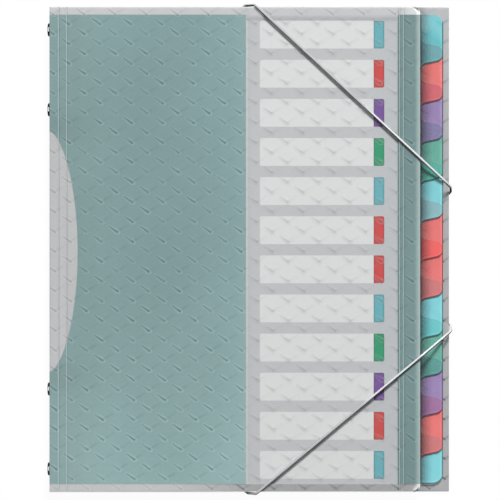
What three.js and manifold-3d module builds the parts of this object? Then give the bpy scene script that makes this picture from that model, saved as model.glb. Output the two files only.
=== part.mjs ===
// Divider folder: a creased polypropylene cover, thirteen leaves hinged on a pleated gusset that is
// riveted to the spine, and two corner elastics held by metal barbs. Millimetres, +Z up.
// The folder lies on its back cover with the spine on the left, and the front cover looks up.
import * as THREE from "three";
import { mergeVertices } from "three/addons/utils/BufferGeometryUtils.js";
import Module from "manifold-3d";

const wasm = await Module();
wasm.setup();

// Cover sheet. X runs from the spine's outer face, and Y from the middle of the height.
const COVER_HEIGHT = 307;
const BACK_WIDTH = 253;
const FRONT_WIDTH = 234.5;
const COVER_SHEET = 0.6;
const FRONT_CORNER_RADIUS = 4.5;
const BACK_CORNER_RADIUS = 0.8;
const LIP_CREASE = 5.8;
const LINK_CREASE = 10.8;
const CREASE_GAP = 0.3;

// Stiffening rib pressed along the front cover's fore-edge: a groove round a long narrow land
const RIB_FROM_FORE_EDGE = 12;
const RIB_WIDTH = 3.6;
const RIB_GROOVE = 0.9;
const RIB_DEPTH = 0.2;
const RIB_END_MARGIN = 1;

// Leaves: the index sheet and the dividers
const LEAF_HEIGHT = 297;
const LEAF_SHEET = 0.25;
const LEAF_PITCH = 0.9;
const DIVIDER_COUNT = 12;
const INDEX_SETBACK = 1;
const LEAF_CORNER_RADIUS = 3;
const LEAF_TO_COVER = 0.55;

// Tabs, stepped down the dividers' fore-edge
const TAB_REACH = 14.6;
const TAB_PITCH = 24.77;
const TAB_ROOT_HEIGHT = 39;
const TAB_TIP_HEIGHT = 32.9;
const TAB_ROOT_RADIUS = 4.5;
const TAB_TIP_RADIUS = 5;
const TAB_END_RADIUS = 6;

// Pleated gusset
const GUSSET_TO_SPINE = 0.3;
const GUSSET_BASE = 0.4;
const GUSSET_WALL = 0.2;
const GUSSET_PEAK = 11.2;
const GUSSET_TO_LEAF = 0.3;
const RIVET_TO_PLEATS = 0.45;

// Rivets through the spine
const RIVET_FROM_EDGE = 14.5;
const RIVET_SPACING = 50.6;
const RIVET_HEAD_DIAMETER = 8.3;
const RIVET_PROUD = 1.45;
const RIVET_RIM = 0.25;
const RIVET_SEAT_GAP = 0.15;
const RIVET_SHANK_DIAMETER = 3.2;
const RIVET_BORE_DIAMETER = 2;
const RIVET_BORE_DEPTH = 1.7;
const RIVET_HOLE_CLEARANCE = 0.3;
const CLINCH_DIAMETER = 5.4;
const CLINCH_HEIGHT = 0.5;
const WASHER_DIAMETER = 8;
const WASHER_SHEET = 0.6;
const WASHER_GAP = 0.25;

// Corner elastics and the barbs that hold their ends
const CORD_DIAMETER = 1.7;
const CORD_GAP = 0.25;
const CORD_SEAM_GAP = 0.3;
const CORD_SEAM_RISE = 0.7;
const CORD_BEND = 1.8;
const CORD_SIDES = 8;
const CORD_STEPS_PER_PIECE = 5;
const CORD_HOLE_CLEARANCE = 0.4;
const CORD_HOLE_INSET = 16;
const BARB_LENGTH = 12;
const BARB_WIDTH = 2.4;
const BARB_THICKNESS = 1;
const BARB_EDGE = 0.25;
const BARB_GAP = 0.25;
const BARB_TO_LEAF = 0.3;

// Where the elastics cross the folder's edges, from their corner of the back cover: along its top or bottom
// edge and along its side, each on the front and on the rear
const TOP_CORD_EDGE_FRONT = 123;
const TOP_CORD_EDGE_REAR = 129.5;
const TOP_CORD_SIDE_FRONT = 114;
const TOP_CORD_SIDE_REAR = 117;
const BOTTOM_CORD_EDGE_FRONT = 122.3;
const BOTTOM_CORD_EDGE_REAR = 127.5;
const BOTTOM_CORD_SIDE_FRONT = 101.6;
const BOTTOM_CORD_SIDE_REAR = 106;

// Facets of the round forms
const ROUND_SEGMENTS = 5;
const BARB_SEGMENTS = 3;
const LATHE_SEGMENTS = 24;
const DOME_STEPS = 6;

// Heights, from the surface that the folder lies on
const CORD_RADIUS = CORD_DIAMETER / 2;
const CORD_STAND = CORD_GAP + CORD_RADIUS;
const CORD_REAR_Z = CORD_RADIUS;
const BACK_OUTER_Z = CORD_DIAMETER + CORD_GAP;
const BACK_INNER_Z = BACK_OUTER_Z + COVER_SHEET;
const LAST_LEAF_Z = BACK_INNER_Z + BARB_GAP + BARB_THICKNESS + BARB_TO_LEAF + LEAF_SHEET / 2;
const INDEX_LEAF_Z = LAST_LEAF_Z + DIVIDER_COUNT * LEAF_PITCH;
const FRONT_INNER_Z = INDEX_LEAF_Z + LEAF_SHEET / 2 + LEAF_TO_COVER;
const FRONT_OUTER_Z = FRONT_INNER_Z + COVER_SHEET;
const SPINE_MIDDLE_Z = (BACK_OUTER_Z + FRONT_OUTER_Z) / 2;
const CORD_FRONT_Z = FRONT_OUTER_Z + CORD_STAND;

// Places across the width, from the spine's outer face
const LEAF_HINGE_X = GUSSET_PEAK + GUSSET_TO_LEAF;
const GUSSET_OUTER_X = COVER_SHEET + GUSSET_TO_SPINE;
const GUSSET_INNER_X = GUSSET_OUTER_X + GUSSET_BASE;
const WASHER_X = GUSSET_INNER_X + WASHER_GAP;
const CLINCH_X = WASHER_X + WASHER_SHEET + WASHER_GAP;
const PLEAT_VALLEY_X = CLINCH_X + CLINCH_HEIGHT + RIVET_TO_PLEATS;
const MIDDLE_X = (BACK_WIDTH + CORD_GAP + CORD_DIAMETER - RIVET_PROUD) / 2;
const CORD_SIDE_X = BACK_WIDTH + CORD_STAND;

// Places along the height
const TOP_EDGE = COVER_HEIGHT / 2;
const LEAF_EDGE = LEAF_HEIGHT / 2;
const CORD_EDGE_Y = TOP_EDGE + CORD_STAND;
const OUTER_RIVET_Y = TOP_EDGE - RIVET_FROM_EDGE;
const INNER_RIVET_Y = OUTER_RIVET_Y - RIVET_SPACING;
const RIVET_PLACES = [OUTER_RIVET_Y, INNER_RIVET_Y, -INNER_RIVET_Y, -OUTER_RIVET_Y];

const finish = (color, roughness, metalness = 0) =>
  new THREE.MeshStandardMaterial({ color, roughness, metalness });

const FINISHES = {
  printed: finish(0x86a5a5, 0.4),
  clear: finish(0xd0d3d3, 0.42),
  paper: finish(0xc6c7ca, 0.7),
  pleats: finish(0xe2e4e4, 0.5),
  steel: finish(0xc9cbce, 0.22, 1),
  elastic: finish(0xd9dadb, 0.6),
  cyan: finish(0x7fc6cf, 0.38),
  red: finish(0xe4716f, 0.38),
  purple: finish(0x957ab2, 0.38),
  green: finish(0x5faf95, 0.38),
};
const TAB_COLOURS = [
  ["cyan", "red", "purple", "green", "cyan", "red"],
  ["red", "cyan", "green", "purple", "red", "cyan"],
].flat();

const folder = new THREE.Group();
folder.name = "divider_folder";
const sheets = new THREE.Group();
sheets.position.x = -MIDDLE_X;
folder.add(sheets);

function addPiece(name, geometry, material, parent = sheets) {
  const mesh = new THREE.Mesh(geometry, material);
  mesh.name = name;
  parent.add(mesh);
  return mesh;
}

// Joining and cutting

function solidOf(geometry) {
  const bare = geometry.index ? geometry.toNonIndexed() : geometry.clone();
  bare.deleteAttribute("normal");
  bare.deleteAttribute("uv");
  const merged = mergeVertices(bare, 1e-4);
  const vertProperties = merged.attributes.position.array;
  const triVerts = new Uint32Array(merged.index.array);
  return new wasm.Manifold(new wasm.Mesh({ numProp: 3, vertProperties, triVerts }));
}

function geometryOf(solid) {
  const { vertProperties, triVerts } = solid.getMesh();
  const geometry = new THREE.BufferGeometry();
  geometry.setAttribute("position", new THREE.BufferAttribute(vertProperties, 3));
  geometry.setIndex(new THREE.BufferAttribute(triVerts, 1));
  geometry.computeVertexNormals();
  return geometry;
}

function cutAway(geometry, cutters) {
  const cut = cutters.reduce((left, cutter) => left.subtract(solidOf(cutter)), solidOf(geometry));
  return geometryOf(cut);
}

// Sheet outlines

// A closed outline through corners [x, y, radius], listed anticlockwise, with each corner rounded by an arc.
function roundedShape(corners) {
  const shape = new THREE.Shape();
  corners.forEach(([x, y, radius = 0], i) => {
    const corner = new THREE.Vector2(x, y);
    const before = new THREE.Vector2(...corners.at(i - 1)).sub(corner).normalize();
    const after = new THREE.Vector2(...corners[(i + 1) % corners.length]).sub(corner).normalize();
    const half = Math.acos(THREE.MathUtils.clamp(before.dot(after), -1, 1)) / 2;
    const start = corner.clone().addScaledVector(before, radius / Math.tan(half));
    const draw = i === 0 ? "moveTo" : "lineTo";
    shape[draw](start.x, start.y);
    if (radius === 0) return;
    const inward = before.clone().add(after).normalize();
    const centre = corner.clone().addScaledVector(inward, radius / Math.sin(half));
    const end = corner.clone().addScaledVector(after, radius / Math.tan(half));
    const from = start.sub(centre).angle();
    const to = end.sub(centre).angle();
    shape.absarc(centre.x, centre.y, radius, from, to, before.cross(after) > 0);
  });
  return shape;
}

function sheetFrom(shape, thickness) {
  return new THREE.ExtrudeGeometry(shape, {
    depth: thickness,
    bevelEnabled: false,
    curveSegments: ROUND_SEGMENTS,
  });
}

function strip(fromX, toX) {
  return roundedShape([
    [fromX, -TOP_EDGE],
    [toX, -TOP_EDGE],
    [toX, TOP_EDGE],
    [fromX, TOP_EDGE],
  ]);
}

function panel(fromX, toX, halfHeight, radius) {
  return roundedShape([
    [fromX, -halfHeight],
    [toX, -halfHeight, radius],
    [toX, halfHeight, radius],
    [fromX, halfHeight],
  ]);
}

// A long slot with round ends, lying along Y.
function stadium(middleX, width, halfLength) {
  return roundedShape([
    [middleX - width / 2, -halfLength, width / 2],
    [middleX + width / 2, -halfLength, width / 2],
    [middleX + width / 2, halfLength, width / 2],
    [middleX - width / 2, halfLength, width / 2],
  ]);
}

// Covers and spine

function frontCover() {
  const sheet = sheetFrom(
    panel(LINK_CREASE + CREASE_GAP / 2, FRONT_WIDTH, TOP_EDGE, FRONT_CORNER_RADIUS),
    COVER_SHEET,
  );
  const ribX = FRONT_WIDTH - RIB_FROM_FORE_EDGE;
  const ribEnd = TOP_EDGE - RIB_END_MARGIN;
  const groove = stadium(ribX, RIB_WIDTH, ribEnd);
  groove.holes.push(stadium(ribX, RIB_WIDTH - 2 * RIB_GROOVE, ribEnd - RIB_GROOVE));
  const cutter = sheetFrom(groove, COVER_SHEET);
  cutter.translate(0, 0, COVER_SHEET - RIB_DEPTH);
  return cutAway(sheet, [cutter]);
}

function backCover(holes) {
  const shape = panel(0, BACK_WIDTH, TOP_EDGE, BACK_CORNER_RADIUS);
  for (const hole of holes) {
    const path = new THREE.Path();
    path.absarc(hole.x, hole.y, CORD_RADIUS + CORD_HOLE_CLEARANCE, 0, 2 * Math.PI, true);
    shape.holes.push(path);
  }
  return sheetFrom(shape, COVER_SHEET);
}

// A shape drawn in Y and Z and given its thickness along X.
function standOnEdge(geometry) {
  const turn = new THREE.Matrix4().makeBasis(
    new THREE.Vector3(0, 1, 0),
    new THREE.Vector3(0, 0, 1),
    new THREE.Vector3(1, 0, 0),
  );
  return geometry.applyMatrix4(turn);
}

function spinePanel() {
  const low = BACK_INNER_Z + CREASE_GAP;
  const high = FRONT_INNER_Z - CREASE_GAP;
  const shape = roundedShape([
    [-TOP_EDGE, low],
    [TOP_EDGE, low],
    [TOP_EDGE, high],
    [-TOP_EDGE, high],
  ]);
  const radius = RIVET_SHANK_DIAMETER / 2 + RIVET_HOLE_CLEARANCE;
  for (const y of RIVET_PLACES) {
    const path = new THREE.Path();
    path.absarc(y, SPINE_MIDDLE_Z, radius, 0, 2 * Math.PI, true);
    shape.holes.push(path);
  }
  return standOnEdge(sheetFrom(shape, COVER_SHEET));
}

// Leaves

const leafZ = (place) => INDEX_LEAF_Z - place * LEAF_PITCH;

// Corners of a divider's fore-edge from bottom to top, round a tab whose middle is at tabY.
function foreEdge(tabY) {
  const tip = FRONT_WIDTH + TAB_REACH;
  const [rootHalf, tipHalf] = [TAB_ROOT_HEIGHT / 2, TAB_TIP_HEIGHT / 2];
  const room = LEAF_EDGE - LEAF_CORNER_RADIUS - TAB_ROOT_RADIUS;
  const lower =
    tabY - rootHalf < -room
      ? [[tip, -LEAF_EDGE, TAB_END_RADIUS]]
      : [
          [FRONT_WIDTH, -LEAF_EDGE, LEAF_CORNER_RADIUS],
          [FRONT_WIDTH, tabY - rootHalf, TAB_ROOT_RADIUS],
          [tip, tabY - tipHalf, TAB_TIP_RADIUS],
        ];
  const upper =
    tabY + rootHalf > room
      ? [[tip, LEAF_EDGE, TAB_END_RADIUS]]
      : [
          [tip, tabY + tipHalf, TAB_TIP_RADIUS],
          [FRONT_WIDTH, tabY + rootHalf, TAB_ROOT_RADIUS],
          [FRONT_WIDTH, LEAF_EDGE, LEAF_CORNER_RADIUS],
        ];
  return [...lower, ...upper];
}

function dividerSheet(number) {
  const tabY = ((DIVIDER_COUNT + 1) / 2 - number) * TAB_PITCH;
  const outline = [[LEAF_HINGE_X, -LEAF_EDGE], ...foreEdge(tabY), [LEAF_HINGE_X, LEAF_EDGE]];
  return sheetFrom(roundedShape(outline), LEAF_SHEET);
}

// Gusset: a flat base on the spine, closed by a zigzag wall with a peak at each leaf's hinge.
function gusset() {
  const halfPitch = LEAF_PITCH / 2;
  const depth = GUSSET_PEAK - PLEAT_VALLEY_X;
  const wallShift = (depth * GUSSET_WALL) / (halfPitch + GUSSET_WALL);
  const low = LAST_LEAF_Z - halfPitch;
  const high = INDEX_LEAF_Z + halfPitch;
  const outside = [[GUSSET_OUTER_X, low]];
  const inside = [[GUSSET_INNER_X, low + GUSSET_WALL]];
  for (let place = DIVIDER_COUNT; place >= 0; place -= 1) {
    outside.push([PLEAT_VALLEY_X + wallShift, leafZ(place) - halfPitch]);
    outside.push([GUSSET_PEAK, leafZ(place)]);
    inside.push([GUSSET_PEAK - wallShift, leafZ(place)]);
    if (place > 0) inside.push([PLEAT_VALLEY_X, leafZ(place) + halfPitch]);
  }
  outside.push([PLEAT_VALLEY_X + wallShift, high], [GUSSET_OUTER_X, high]);
  inside.push([GUSSET_INNER_X, high - GUSSET_WALL]);
  const shape = roundedShape(outside);
  shape.holes.push(roundedShape(inside));
  const profile = sheetFrom(shape, LEAF_HEIGHT);
  profile.rotateX(Math.PI / 2);
  profile.translate(0, LEAF_EDGE, 0);
  const radius = RIVET_SHANK_DIAMETER / 2 + RIVET_HOLE_CLEARANCE;
  const drills = RIVET_PLACES.map((y) => {
    const drill = new THREE.CylinderGeometry(radius, radius, PLEAT_VALLEY_X, LATHE_SEGMENTS);
    drill.rotateZ(Math.PI / 2);
    return drill.translate(PLEAT_VALLEY_X / 2, y, SPINE_MIDDLE_Z);
  });
  return cutAway(profile, drills);
}

// Rivets and washers, turned about X

function turned(profile) {
  const points = profile.map(([radius, x]) => new THREE.Vector2(radius, x));
  return new THREE.LatheGeometry(points, LATHE_SEGMENTS).rotateZ(-Math.PI / 2);
}

function rivet() {
  const headRadius = RIVET_HEAD_DIAMETER / 2;
  const shank = RIVET_SHANK_DIAMETER / 2;
  const clinch = CLINCH_DIAMETER / 2;
  const bore = RIVET_BORE_DIAMETER / 2;
  const end = CLINCH_X + CLINCH_HEIGHT;
  const rise = RIVET_PROUD - RIVET_SEAT_GAP - RIVET_RIM;
  const dome = Array.from({ length: DOME_STEPS + 1 }, (_, i) => {
    const angle = (i / DOME_STEPS) * (Math.PI / 2);
    return [headRadius * Math.sin(angle), -RIVET_PROUD + rise * (1 - Math.cos(angle))];
  });
  return turned([
    ...dome,
    [headRadius, -RIVET_SEAT_GAP],
    [shank, -RIVET_SEAT_GAP],
    [shank, CLINCH_X],
    [clinch, CLINCH_X],
    [clinch, CLINCH_X + CLINCH_HEIGHT / 2],
    [(clinch + bore) / 2, end],
    [bore, end],
    [bore, end - RIVET_BORE_DEPTH],
    [0, end - RIVET_BORE_DEPTH],
  ]);
}

function washer() {
  const inner = RIVET_SHANK_DIAMETER / 2 + RIVET_HOLE_CLEARANCE;
  const outer = WASHER_DIAMETER / 2;
  const ring = [
    [inner, WASHER_X],
    [outer, WASHER_X],
    [outer, WASHER_X + WASHER_SHEET],
    [inner, WASHER_X + WASHER_SHEET],
  ];
  return turned([...ring, ring[0]]);
}

// Elastics. A route is a chain of straight runs with each corner rounded.

class CordRoute extends THREE.Curve {
  constructor(corners) {
    super();
    const pieces = [];
    let from = corners[0];
    corners.slice(1, -1).forEach((corner, i) => {
      const towards = corners[i + 2];
      const reach = Math.min(CORD_BEND, corner.distanceTo(from) / 2, corner.distanceTo(towards) / 2);
      const start = along(corner, from, reach);
      const end = along(corner, towards, reach);
      pieces.push(new THREE.LineCurve3(from, start));
      pieces.push(new THREE.QuadraticBezierCurve3(start, corner, end));
      from = end;
    });
    pieces.push(new THREE.LineCurve3(from, corners.at(-1)));
    this.pieces = pieces;
  }

  getPoint(t, target = new THREE.Vector3()) {
    const place = Math.min(t, 1 - Number.EPSILON) * this.pieces.length;
    const number = Math.floor(place);
    return this.pieces[number].getPoint(place - number, target);
  }

  getUtoTmapping(u) {
    return u;
  }
}

function along(from, towards, distance) {
  return towards.clone().sub(from).setLength(distance).add(from);
}

function cord(corners) {
  const route = new CordRoute(corners);
  const section = new THREE.Shape(
    Array.from({ length: CORD_SIDES }, (_, i) => {
      const angle = ((i + 0.5) / CORD_SIDES) * 2 * Math.PI;
      return new THREE.Vector2(CORD_RADIUS * Math.cos(angle), CORD_RADIUS * Math.sin(angle));
    }),
  );
  return new THREE.ExtrudeGeometry(section, {
    steps: CORD_STEPS_PER_PIECE * route.pieces.length,
    bevelEnabled: false,
    extrudePath: route,
  });
}

// The uppermost divider whose tab lies under a point of the fore-edge.
function tabUnder(y) {
  const reach = TAB_ROOT_HEIGHT / 2 + TAB_ROOT_RADIUS;
  const number = Math.ceil((DIVIDER_COUNT + 1) / 2 - (y + reach) / TAB_PITCH);
  return THREE.MathUtils.clamp(number, 1, DIVIDER_COUNT);
}

const ELASTICS = [
  {
    name: "elastic_top",
    end: 1,
    frontX: BACK_WIDTH - TOP_CORD_EDGE_FRONT,
    rearX: BACK_WIDTH - TOP_CORD_EDGE_REAR,
    frontY: TOP_EDGE - TOP_CORD_SIDE_FRONT,
    rearY: TOP_EDGE - TOP_CORD_SIDE_REAR,
  },
  {
    name: "elastic_bottom",
    end: -1,
    frontX: BACK_WIDTH - BOTTOM_CORD_EDGE_FRONT,
    rearX: BACK_WIDTH - BOTTOM_CORD_EDGE_REAR,
    frontY: TOP_EDGE - BOTTOM_CORD_SIDE_FRONT,
    rearY: TOP_EDGE - BOTTOM_CORD_SIDE_REAR,
  },
];

// The corners of an elastic's run over the folder, at the top when end is 1 and at the bottom when it is -1.
function elasticRoute({ end, frontX, rearX, frontY, rearY }) {
  const point = (x, y, z) => new THREE.Vector3(x, end * y, z);
  const slope = (CORD_EDGE_Y - frontY) / (CORD_SIDE_X - frontX);
  const onLine = (x, z) => point(x, CORD_EDGE_Y - slope * (x - frontX), z);
  const overTab = onLine(FRONT_WIDTH + TAB_REACH + CORD_STAND, 0);
  overTab.z = leafZ(tabUnder(overTab.y)) + LEAF_SHEET / 2 + CORD_STAND;
  const overCover = onLine(FRONT_WIDTH + CORD_STAND, CORD_FRONT_Z);
  const rearDrop = slope * CORD_HOLE_INSET;
  const long = {
    hole: point(rearX - (CORD_HOLE_INSET + CORD_STAND) / slope, TOP_EDGE - CORD_HOLE_INSET, CORD_REAR_Z),
    rear: point(rearX, CORD_EDGE_Y, CORD_REAR_Z),
    front: point(frontX, CORD_EDGE_Y, CORD_FRONT_Z),
  };
  const side = {
    hole: point(BACK_WIDTH - CORD_HOLE_INSET, rearY - rearDrop, CORD_REAR_Z),
    rear: point(CORD_SIDE_X, rearY, CORD_REAR_Z),
    front: point(CORD_SIDE_X, frontY, BACK_INNER_Z + 2 * CORD_DIAMETER),
  };
  return { long, side, overCover, overTab };
}

// The end of a cord at the seam on its way up an edge, on the side of the seam that faces towards.
function seam({ rear, front }, towards) {
  const share = (BACK_INNER_Z + CORD_SEAM_RISE - rear.z) / (front.z - rear.z);
  return along(rear.clone().lerp(front, share), towards, CORD_SEAM_GAP / 2);
}

// The run from a barb's hole, behind the cover and round its edge, up to the seam.
function tail(edge) {
  const inHole = edge.hole.clone().setZ(BACK_INNER_Z);
  return cord([inHole, edge.hole, edge.rear, seam(edge, edge.rear)]);
}

function barb(hole, rear) {
  const half = BARB_LENGTH / 2;
  const shape = stadium(0, BARB_WIDTH - 2 * BARB_EDGE, half - BARB_EDGE);
  const bar = new THREE.ExtrudeGeometry(shape, {
    depth: BARB_THICKNESS - 2 * BARB_EDGE,
    bevelThickness: BARB_EDGE,
    bevelSize: BARB_EDGE,
    bevelSegments: 2,
    curveSegments: BARB_SEGMENTS,
  });
  bar.rotateZ(Math.atan2(rear.y - hole.y, rear.x - hole.x));
  return bar.translate(hole.x, hole.y, BACK_INNER_Z + BARB_GAP + BARB_EDGE);
}

// Assembly

addPiece("front_cover", frontCover(), FINISHES.printed).position.z = FRONT_INNER_Z;
const lip = sheetFrom(strip(0, LIP_CREASE - CREASE_GAP / 2), COVER_SHEET);
addPiece("front_lip", lip, FINISHES.printed).position.z = FRONT_INNER_Z;
const link = sheetFrom(strip(LIP_CREASE + CREASE_GAP / 2, LINK_CREASE - CREASE_GAP / 2), COVER_SHEET);
addPiece("front_link", link, FINISHES.printed).position.z = FRONT_INNER_Z;
addPiece("spine_panel", spinePanel(), FINISHES.printed);
addPiece("gusset", gusset(), FINISHES.pleats);

const indexSheet = sheetFrom(
  panel(LEAF_HINGE_X, FRONT_WIDTH - INDEX_SETBACK, LEAF_EDGE, LEAF_CORNER_RADIUS),
  LEAF_SHEET,
);
addPiece("index_sheet", indexSheet, FINISHES.paper).position.z = leafZ(0) - LEAF_SHEET / 2;
for (let number = 1; number <= DIVIDER_COUNT; number += 1) {
  const colour = TAB_COLOURS[(number - 1) % TAB_COLOURS.length];
  const name = `divider_${String(number).padStart(2, "0")}`;
  addPiece(name, dividerSheet(number), FINISHES[colour]).position.z = leafZ(number) - LEAF_SHEET / 2;
}

RIVET_PLACES.forEach((y, i) => {
  const fastener = new THREE.Group();
  fastener.position.set(0, y, SPINE_MIDDLE_Z);
  sheets.add(fastener);
  addPiece(`rivet_${i + 1}`, rivet(), FINISHES.steel, fastener);
  addPiece(`rivet_washer_${i + 1}`, washer(), FINISHES.steel, fastener);
});

const routes = ELASTICS.map((elastic) => ({ ...elastic, ...elasticRoute(elastic) }));
for (const { name, long, side, overCover, overTab } of routes) {
  const span = [seam(long, long.front), long.front, overCover, overTab, side.front, seam(side, side.front)];
  addPiece(name, cord(span), FINISHES.elastic);
  addPiece(`${name}_edge_end`, tail(long), FINISHES.elastic);
  addPiece(`${name}_side_end`, tail(side), FINISHES.elastic);
  addPiece(`${name}_edge_barb`, barb(long.hole, long.rear), FINISHES.steel);
  addPiece(`${name}_side_barb`, barb(side.hole, side.rear), FINISHES.steel);
}
const cordHoles = routes.flatMap(({ long, side }) => [long.hole, side.hole]);
addPiece("back_cover", backCover(cordHoles), FINISHES.clear).position.z = BACK_OUTER_Z;

export default folder;
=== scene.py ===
"""Looks of a divider folder: film covers, an index sheet, tabbed dividers, pleats, rivets and elastics.

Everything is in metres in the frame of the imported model: X runs from the spine to the fore-edge, Y to the
top edge and Z out of the front cover. Sizes are written as millimetres times MM.
"""

import logging
from dataclasses import dataclass, field
from enum import Enum

import bpy
import numpy as np
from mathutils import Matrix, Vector


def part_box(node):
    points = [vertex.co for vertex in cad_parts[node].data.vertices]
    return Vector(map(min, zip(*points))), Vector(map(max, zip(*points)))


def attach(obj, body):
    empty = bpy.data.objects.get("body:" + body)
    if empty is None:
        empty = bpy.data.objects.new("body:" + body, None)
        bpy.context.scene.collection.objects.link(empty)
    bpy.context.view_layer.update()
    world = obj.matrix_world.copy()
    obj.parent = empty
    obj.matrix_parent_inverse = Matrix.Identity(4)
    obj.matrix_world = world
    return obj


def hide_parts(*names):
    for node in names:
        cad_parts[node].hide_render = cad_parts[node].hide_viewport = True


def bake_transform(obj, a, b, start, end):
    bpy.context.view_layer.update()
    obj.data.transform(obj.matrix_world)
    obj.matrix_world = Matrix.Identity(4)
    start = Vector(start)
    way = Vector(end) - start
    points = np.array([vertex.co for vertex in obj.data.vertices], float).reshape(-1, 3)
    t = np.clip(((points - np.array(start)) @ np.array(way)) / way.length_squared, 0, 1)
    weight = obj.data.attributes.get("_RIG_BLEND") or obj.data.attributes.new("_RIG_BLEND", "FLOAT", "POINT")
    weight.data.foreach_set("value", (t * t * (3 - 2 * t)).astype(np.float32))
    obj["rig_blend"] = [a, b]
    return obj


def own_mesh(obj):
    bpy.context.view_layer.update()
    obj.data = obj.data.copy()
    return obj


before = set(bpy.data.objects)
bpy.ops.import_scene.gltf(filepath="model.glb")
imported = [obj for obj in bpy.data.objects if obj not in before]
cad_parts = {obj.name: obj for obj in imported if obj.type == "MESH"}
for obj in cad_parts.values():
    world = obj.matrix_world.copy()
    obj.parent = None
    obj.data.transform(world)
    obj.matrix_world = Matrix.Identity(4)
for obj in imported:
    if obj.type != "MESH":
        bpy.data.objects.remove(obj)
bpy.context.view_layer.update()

MM = 0.001
SPINE_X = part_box("back_cover")[0].x
LOG = logging.getLogger("divider_folder")
FILM_IOR = 1.49

Array = np.ndarray
Colour = tuple[float, float, float, float]
Point = tuple[float, float, float]
Span = tuple[float, float]
Socket = bpy.types.NodeSocket
Value = Socket | float


def from_spine(distance: float) -> float:
    """Place along X of a distance from the spine's outer face."""
    return SPINE_X + distance


def srgb(red: int, green: int, blue: int) -> Colour:
    """Linear colour of a display colour given in steps of 255."""
    share = np.array([red, green, blue]) / 255
    linear = np.where(share <= 0.04045, share / 12.92, ((share + 0.055) / 1.055) ** 2.4)
    return (*map(float, linear), 1.0)


WHITE = srgb(246, 247, 247)
FULL_WHITE = srgb(255, 255, 255)


class Lie(Enum):
    """How a sheet lies at rest: flat, or standing on its edge as the spine does."""

    FLAT = "flat"
    ON_EDGE = "on_edge"


class Hue(Enum):
    """Colours of the dividers and of their chips on the index sheet."""

    CYAN = "cyan"
    RED = "red"
    PURPLE = "purple"
    GREEN = "green"


TAB_HUES = tuple(map(Hue, "cyan red purple green cyan red red cyan green purple red cyan".split()))


# Meshes


@dataclass
class Surface:
    """Points and faces of one closed piece, held as whole arrays.

    Each array in faces has one face a row, and smooth and uv go along with it. Values in attributes are
    one a point.
    """

    points: Array
    faces: list[Array]
    smooth: list[bool]
    attributes: dict[str, Array] = field(default_factory=dict)
    uv: list[Array] | None = None

    def volume(self) -> float:
        """Signed volume: a sixth of the triple products of the triangles fanned out in each face."""
        total = 0.0
        for faces in self.faces:
            corners = self.points[faces]
            spread = np.cross(corners[:, 1:-1], corners[:, 2:])
            total += float(np.sum(corners[:, :1] * spread)) / 6
        return total

    def turn_outward(self) -> None:
        """Turns every face round if the signed volume is negative."""
        if self.volume() < 0:
            self.faces = [faces[:, ::-1] for faces in self.faces]
            if self.uv is not None:
                self.uv = [uv[:, ::-1] for uv in self.uv]

    def stood_on_edge(self) -> "Surface":
        """The same surface with its length up Z, its height along Y and its face towards -X."""
        self.points = np.stack([-self.points[:, 2], self.points[:, 1], self.points[:, 0]], -1)
        return self

    def make(self, name: str) -> bpy.types.Object:
        """A mesh object at the origin with these points and faces.

        Args:
            name: The object's name.

        Returns:
            The new object, linked into the scene.
        """
        self.turn_outward()
        mesh = bpy.data.meshes.new(name)
        mesh.vertices.add(len(self.points))
        mesh.vertices.foreach_set("co", self.points.astype(np.float32).ravel())
        loops = np.concatenate([faces.ravel() for faces in self.faces]).astype(np.int32)
        sides = np.concatenate([np.full(len(faces), faces.shape[1]) for faces in self.faces])
        mesh.loops.add(len(loops))
        mesh.loops.foreach_set("vertex_index", loops)
        mesh.polygons.add(len(sides))
        mesh.polygons.foreach_set("loop_start", (np.cumsum(sides) - sides).astype(np.int32))
        smooth = np.concatenate([np.full(len(f), s) for f, s in zip(self.faces, self.smooth)])
        mesh.polygons.foreach_set("use_smooth", smooth)
        if self.uv is not None:
            layer = mesh.uv_layers.new(name="UVMap")
            layer.uv.foreach_set("vector", np.concatenate([uv.ravel() for uv in self.uv]).astype(np.float32))
        for key, values in self.attributes.items():
            mesh.attributes.new(key, "FLOAT", "POINT").data.foreach_set("value", values.astype(np.float32))
        mesh.update(calc_edges=True)
        mesh.validate()
        made = bpy.data.objects.new(name, mesh)
        bpy.context.scene.collection.objects.link(made)
        return made


def grid_quads(index: Array) -> Array:
    """Faces of a grid: each point with the next ones along its first and second way, anticlockwise."""
    corners = [index[:-1, :-1], index[1:, :-1], index[1:, 1:], index[:-1, 1:]]
    return np.stack(corners, -1).reshape(-1, 4)


def grid_border(index: Array) -> Array:
    """Outer points of a grid as one closed loop, anticlockwise."""
    return np.concatenate([index[:-1, 0], index[-1, :-1], index[:0:-1, -1], index[0, :0:-1]])


def open_edges(quads: Array, count: int) -> Array:
    """Edges that only one face uses: those whose reversed pair of points is in no other face.

    Args:
        quads: Faces of a flat sheet, anticlockwise.
        count: Number of points in the sheet.

    Returns:
        Pairs of points, each in the direction in which its face runs.
    """
    pairs = np.stack([quads, np.roll(quads, -1, axis=1)], -1).reshape(-1, 2)
    forward = pairs[:, 0] * count + pairs[:, 1]
    backward = pairs[:, 1] * count + pairs[:, 0]
    return pairs[~np.isin(forward, backward)]


def stations(*stretches: tuple[float, float, float]) -> Array:
    """Places along one way, as even steps in each stretch of (start, end, step)."""
    runs = [np.linspace(a, b, max(2, round(abs(b - a) / step) + 1)) for a, b, step in stretches]
    return np.concatenate([runs[0], *(run[1:] for run in runs[1:])])


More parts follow.
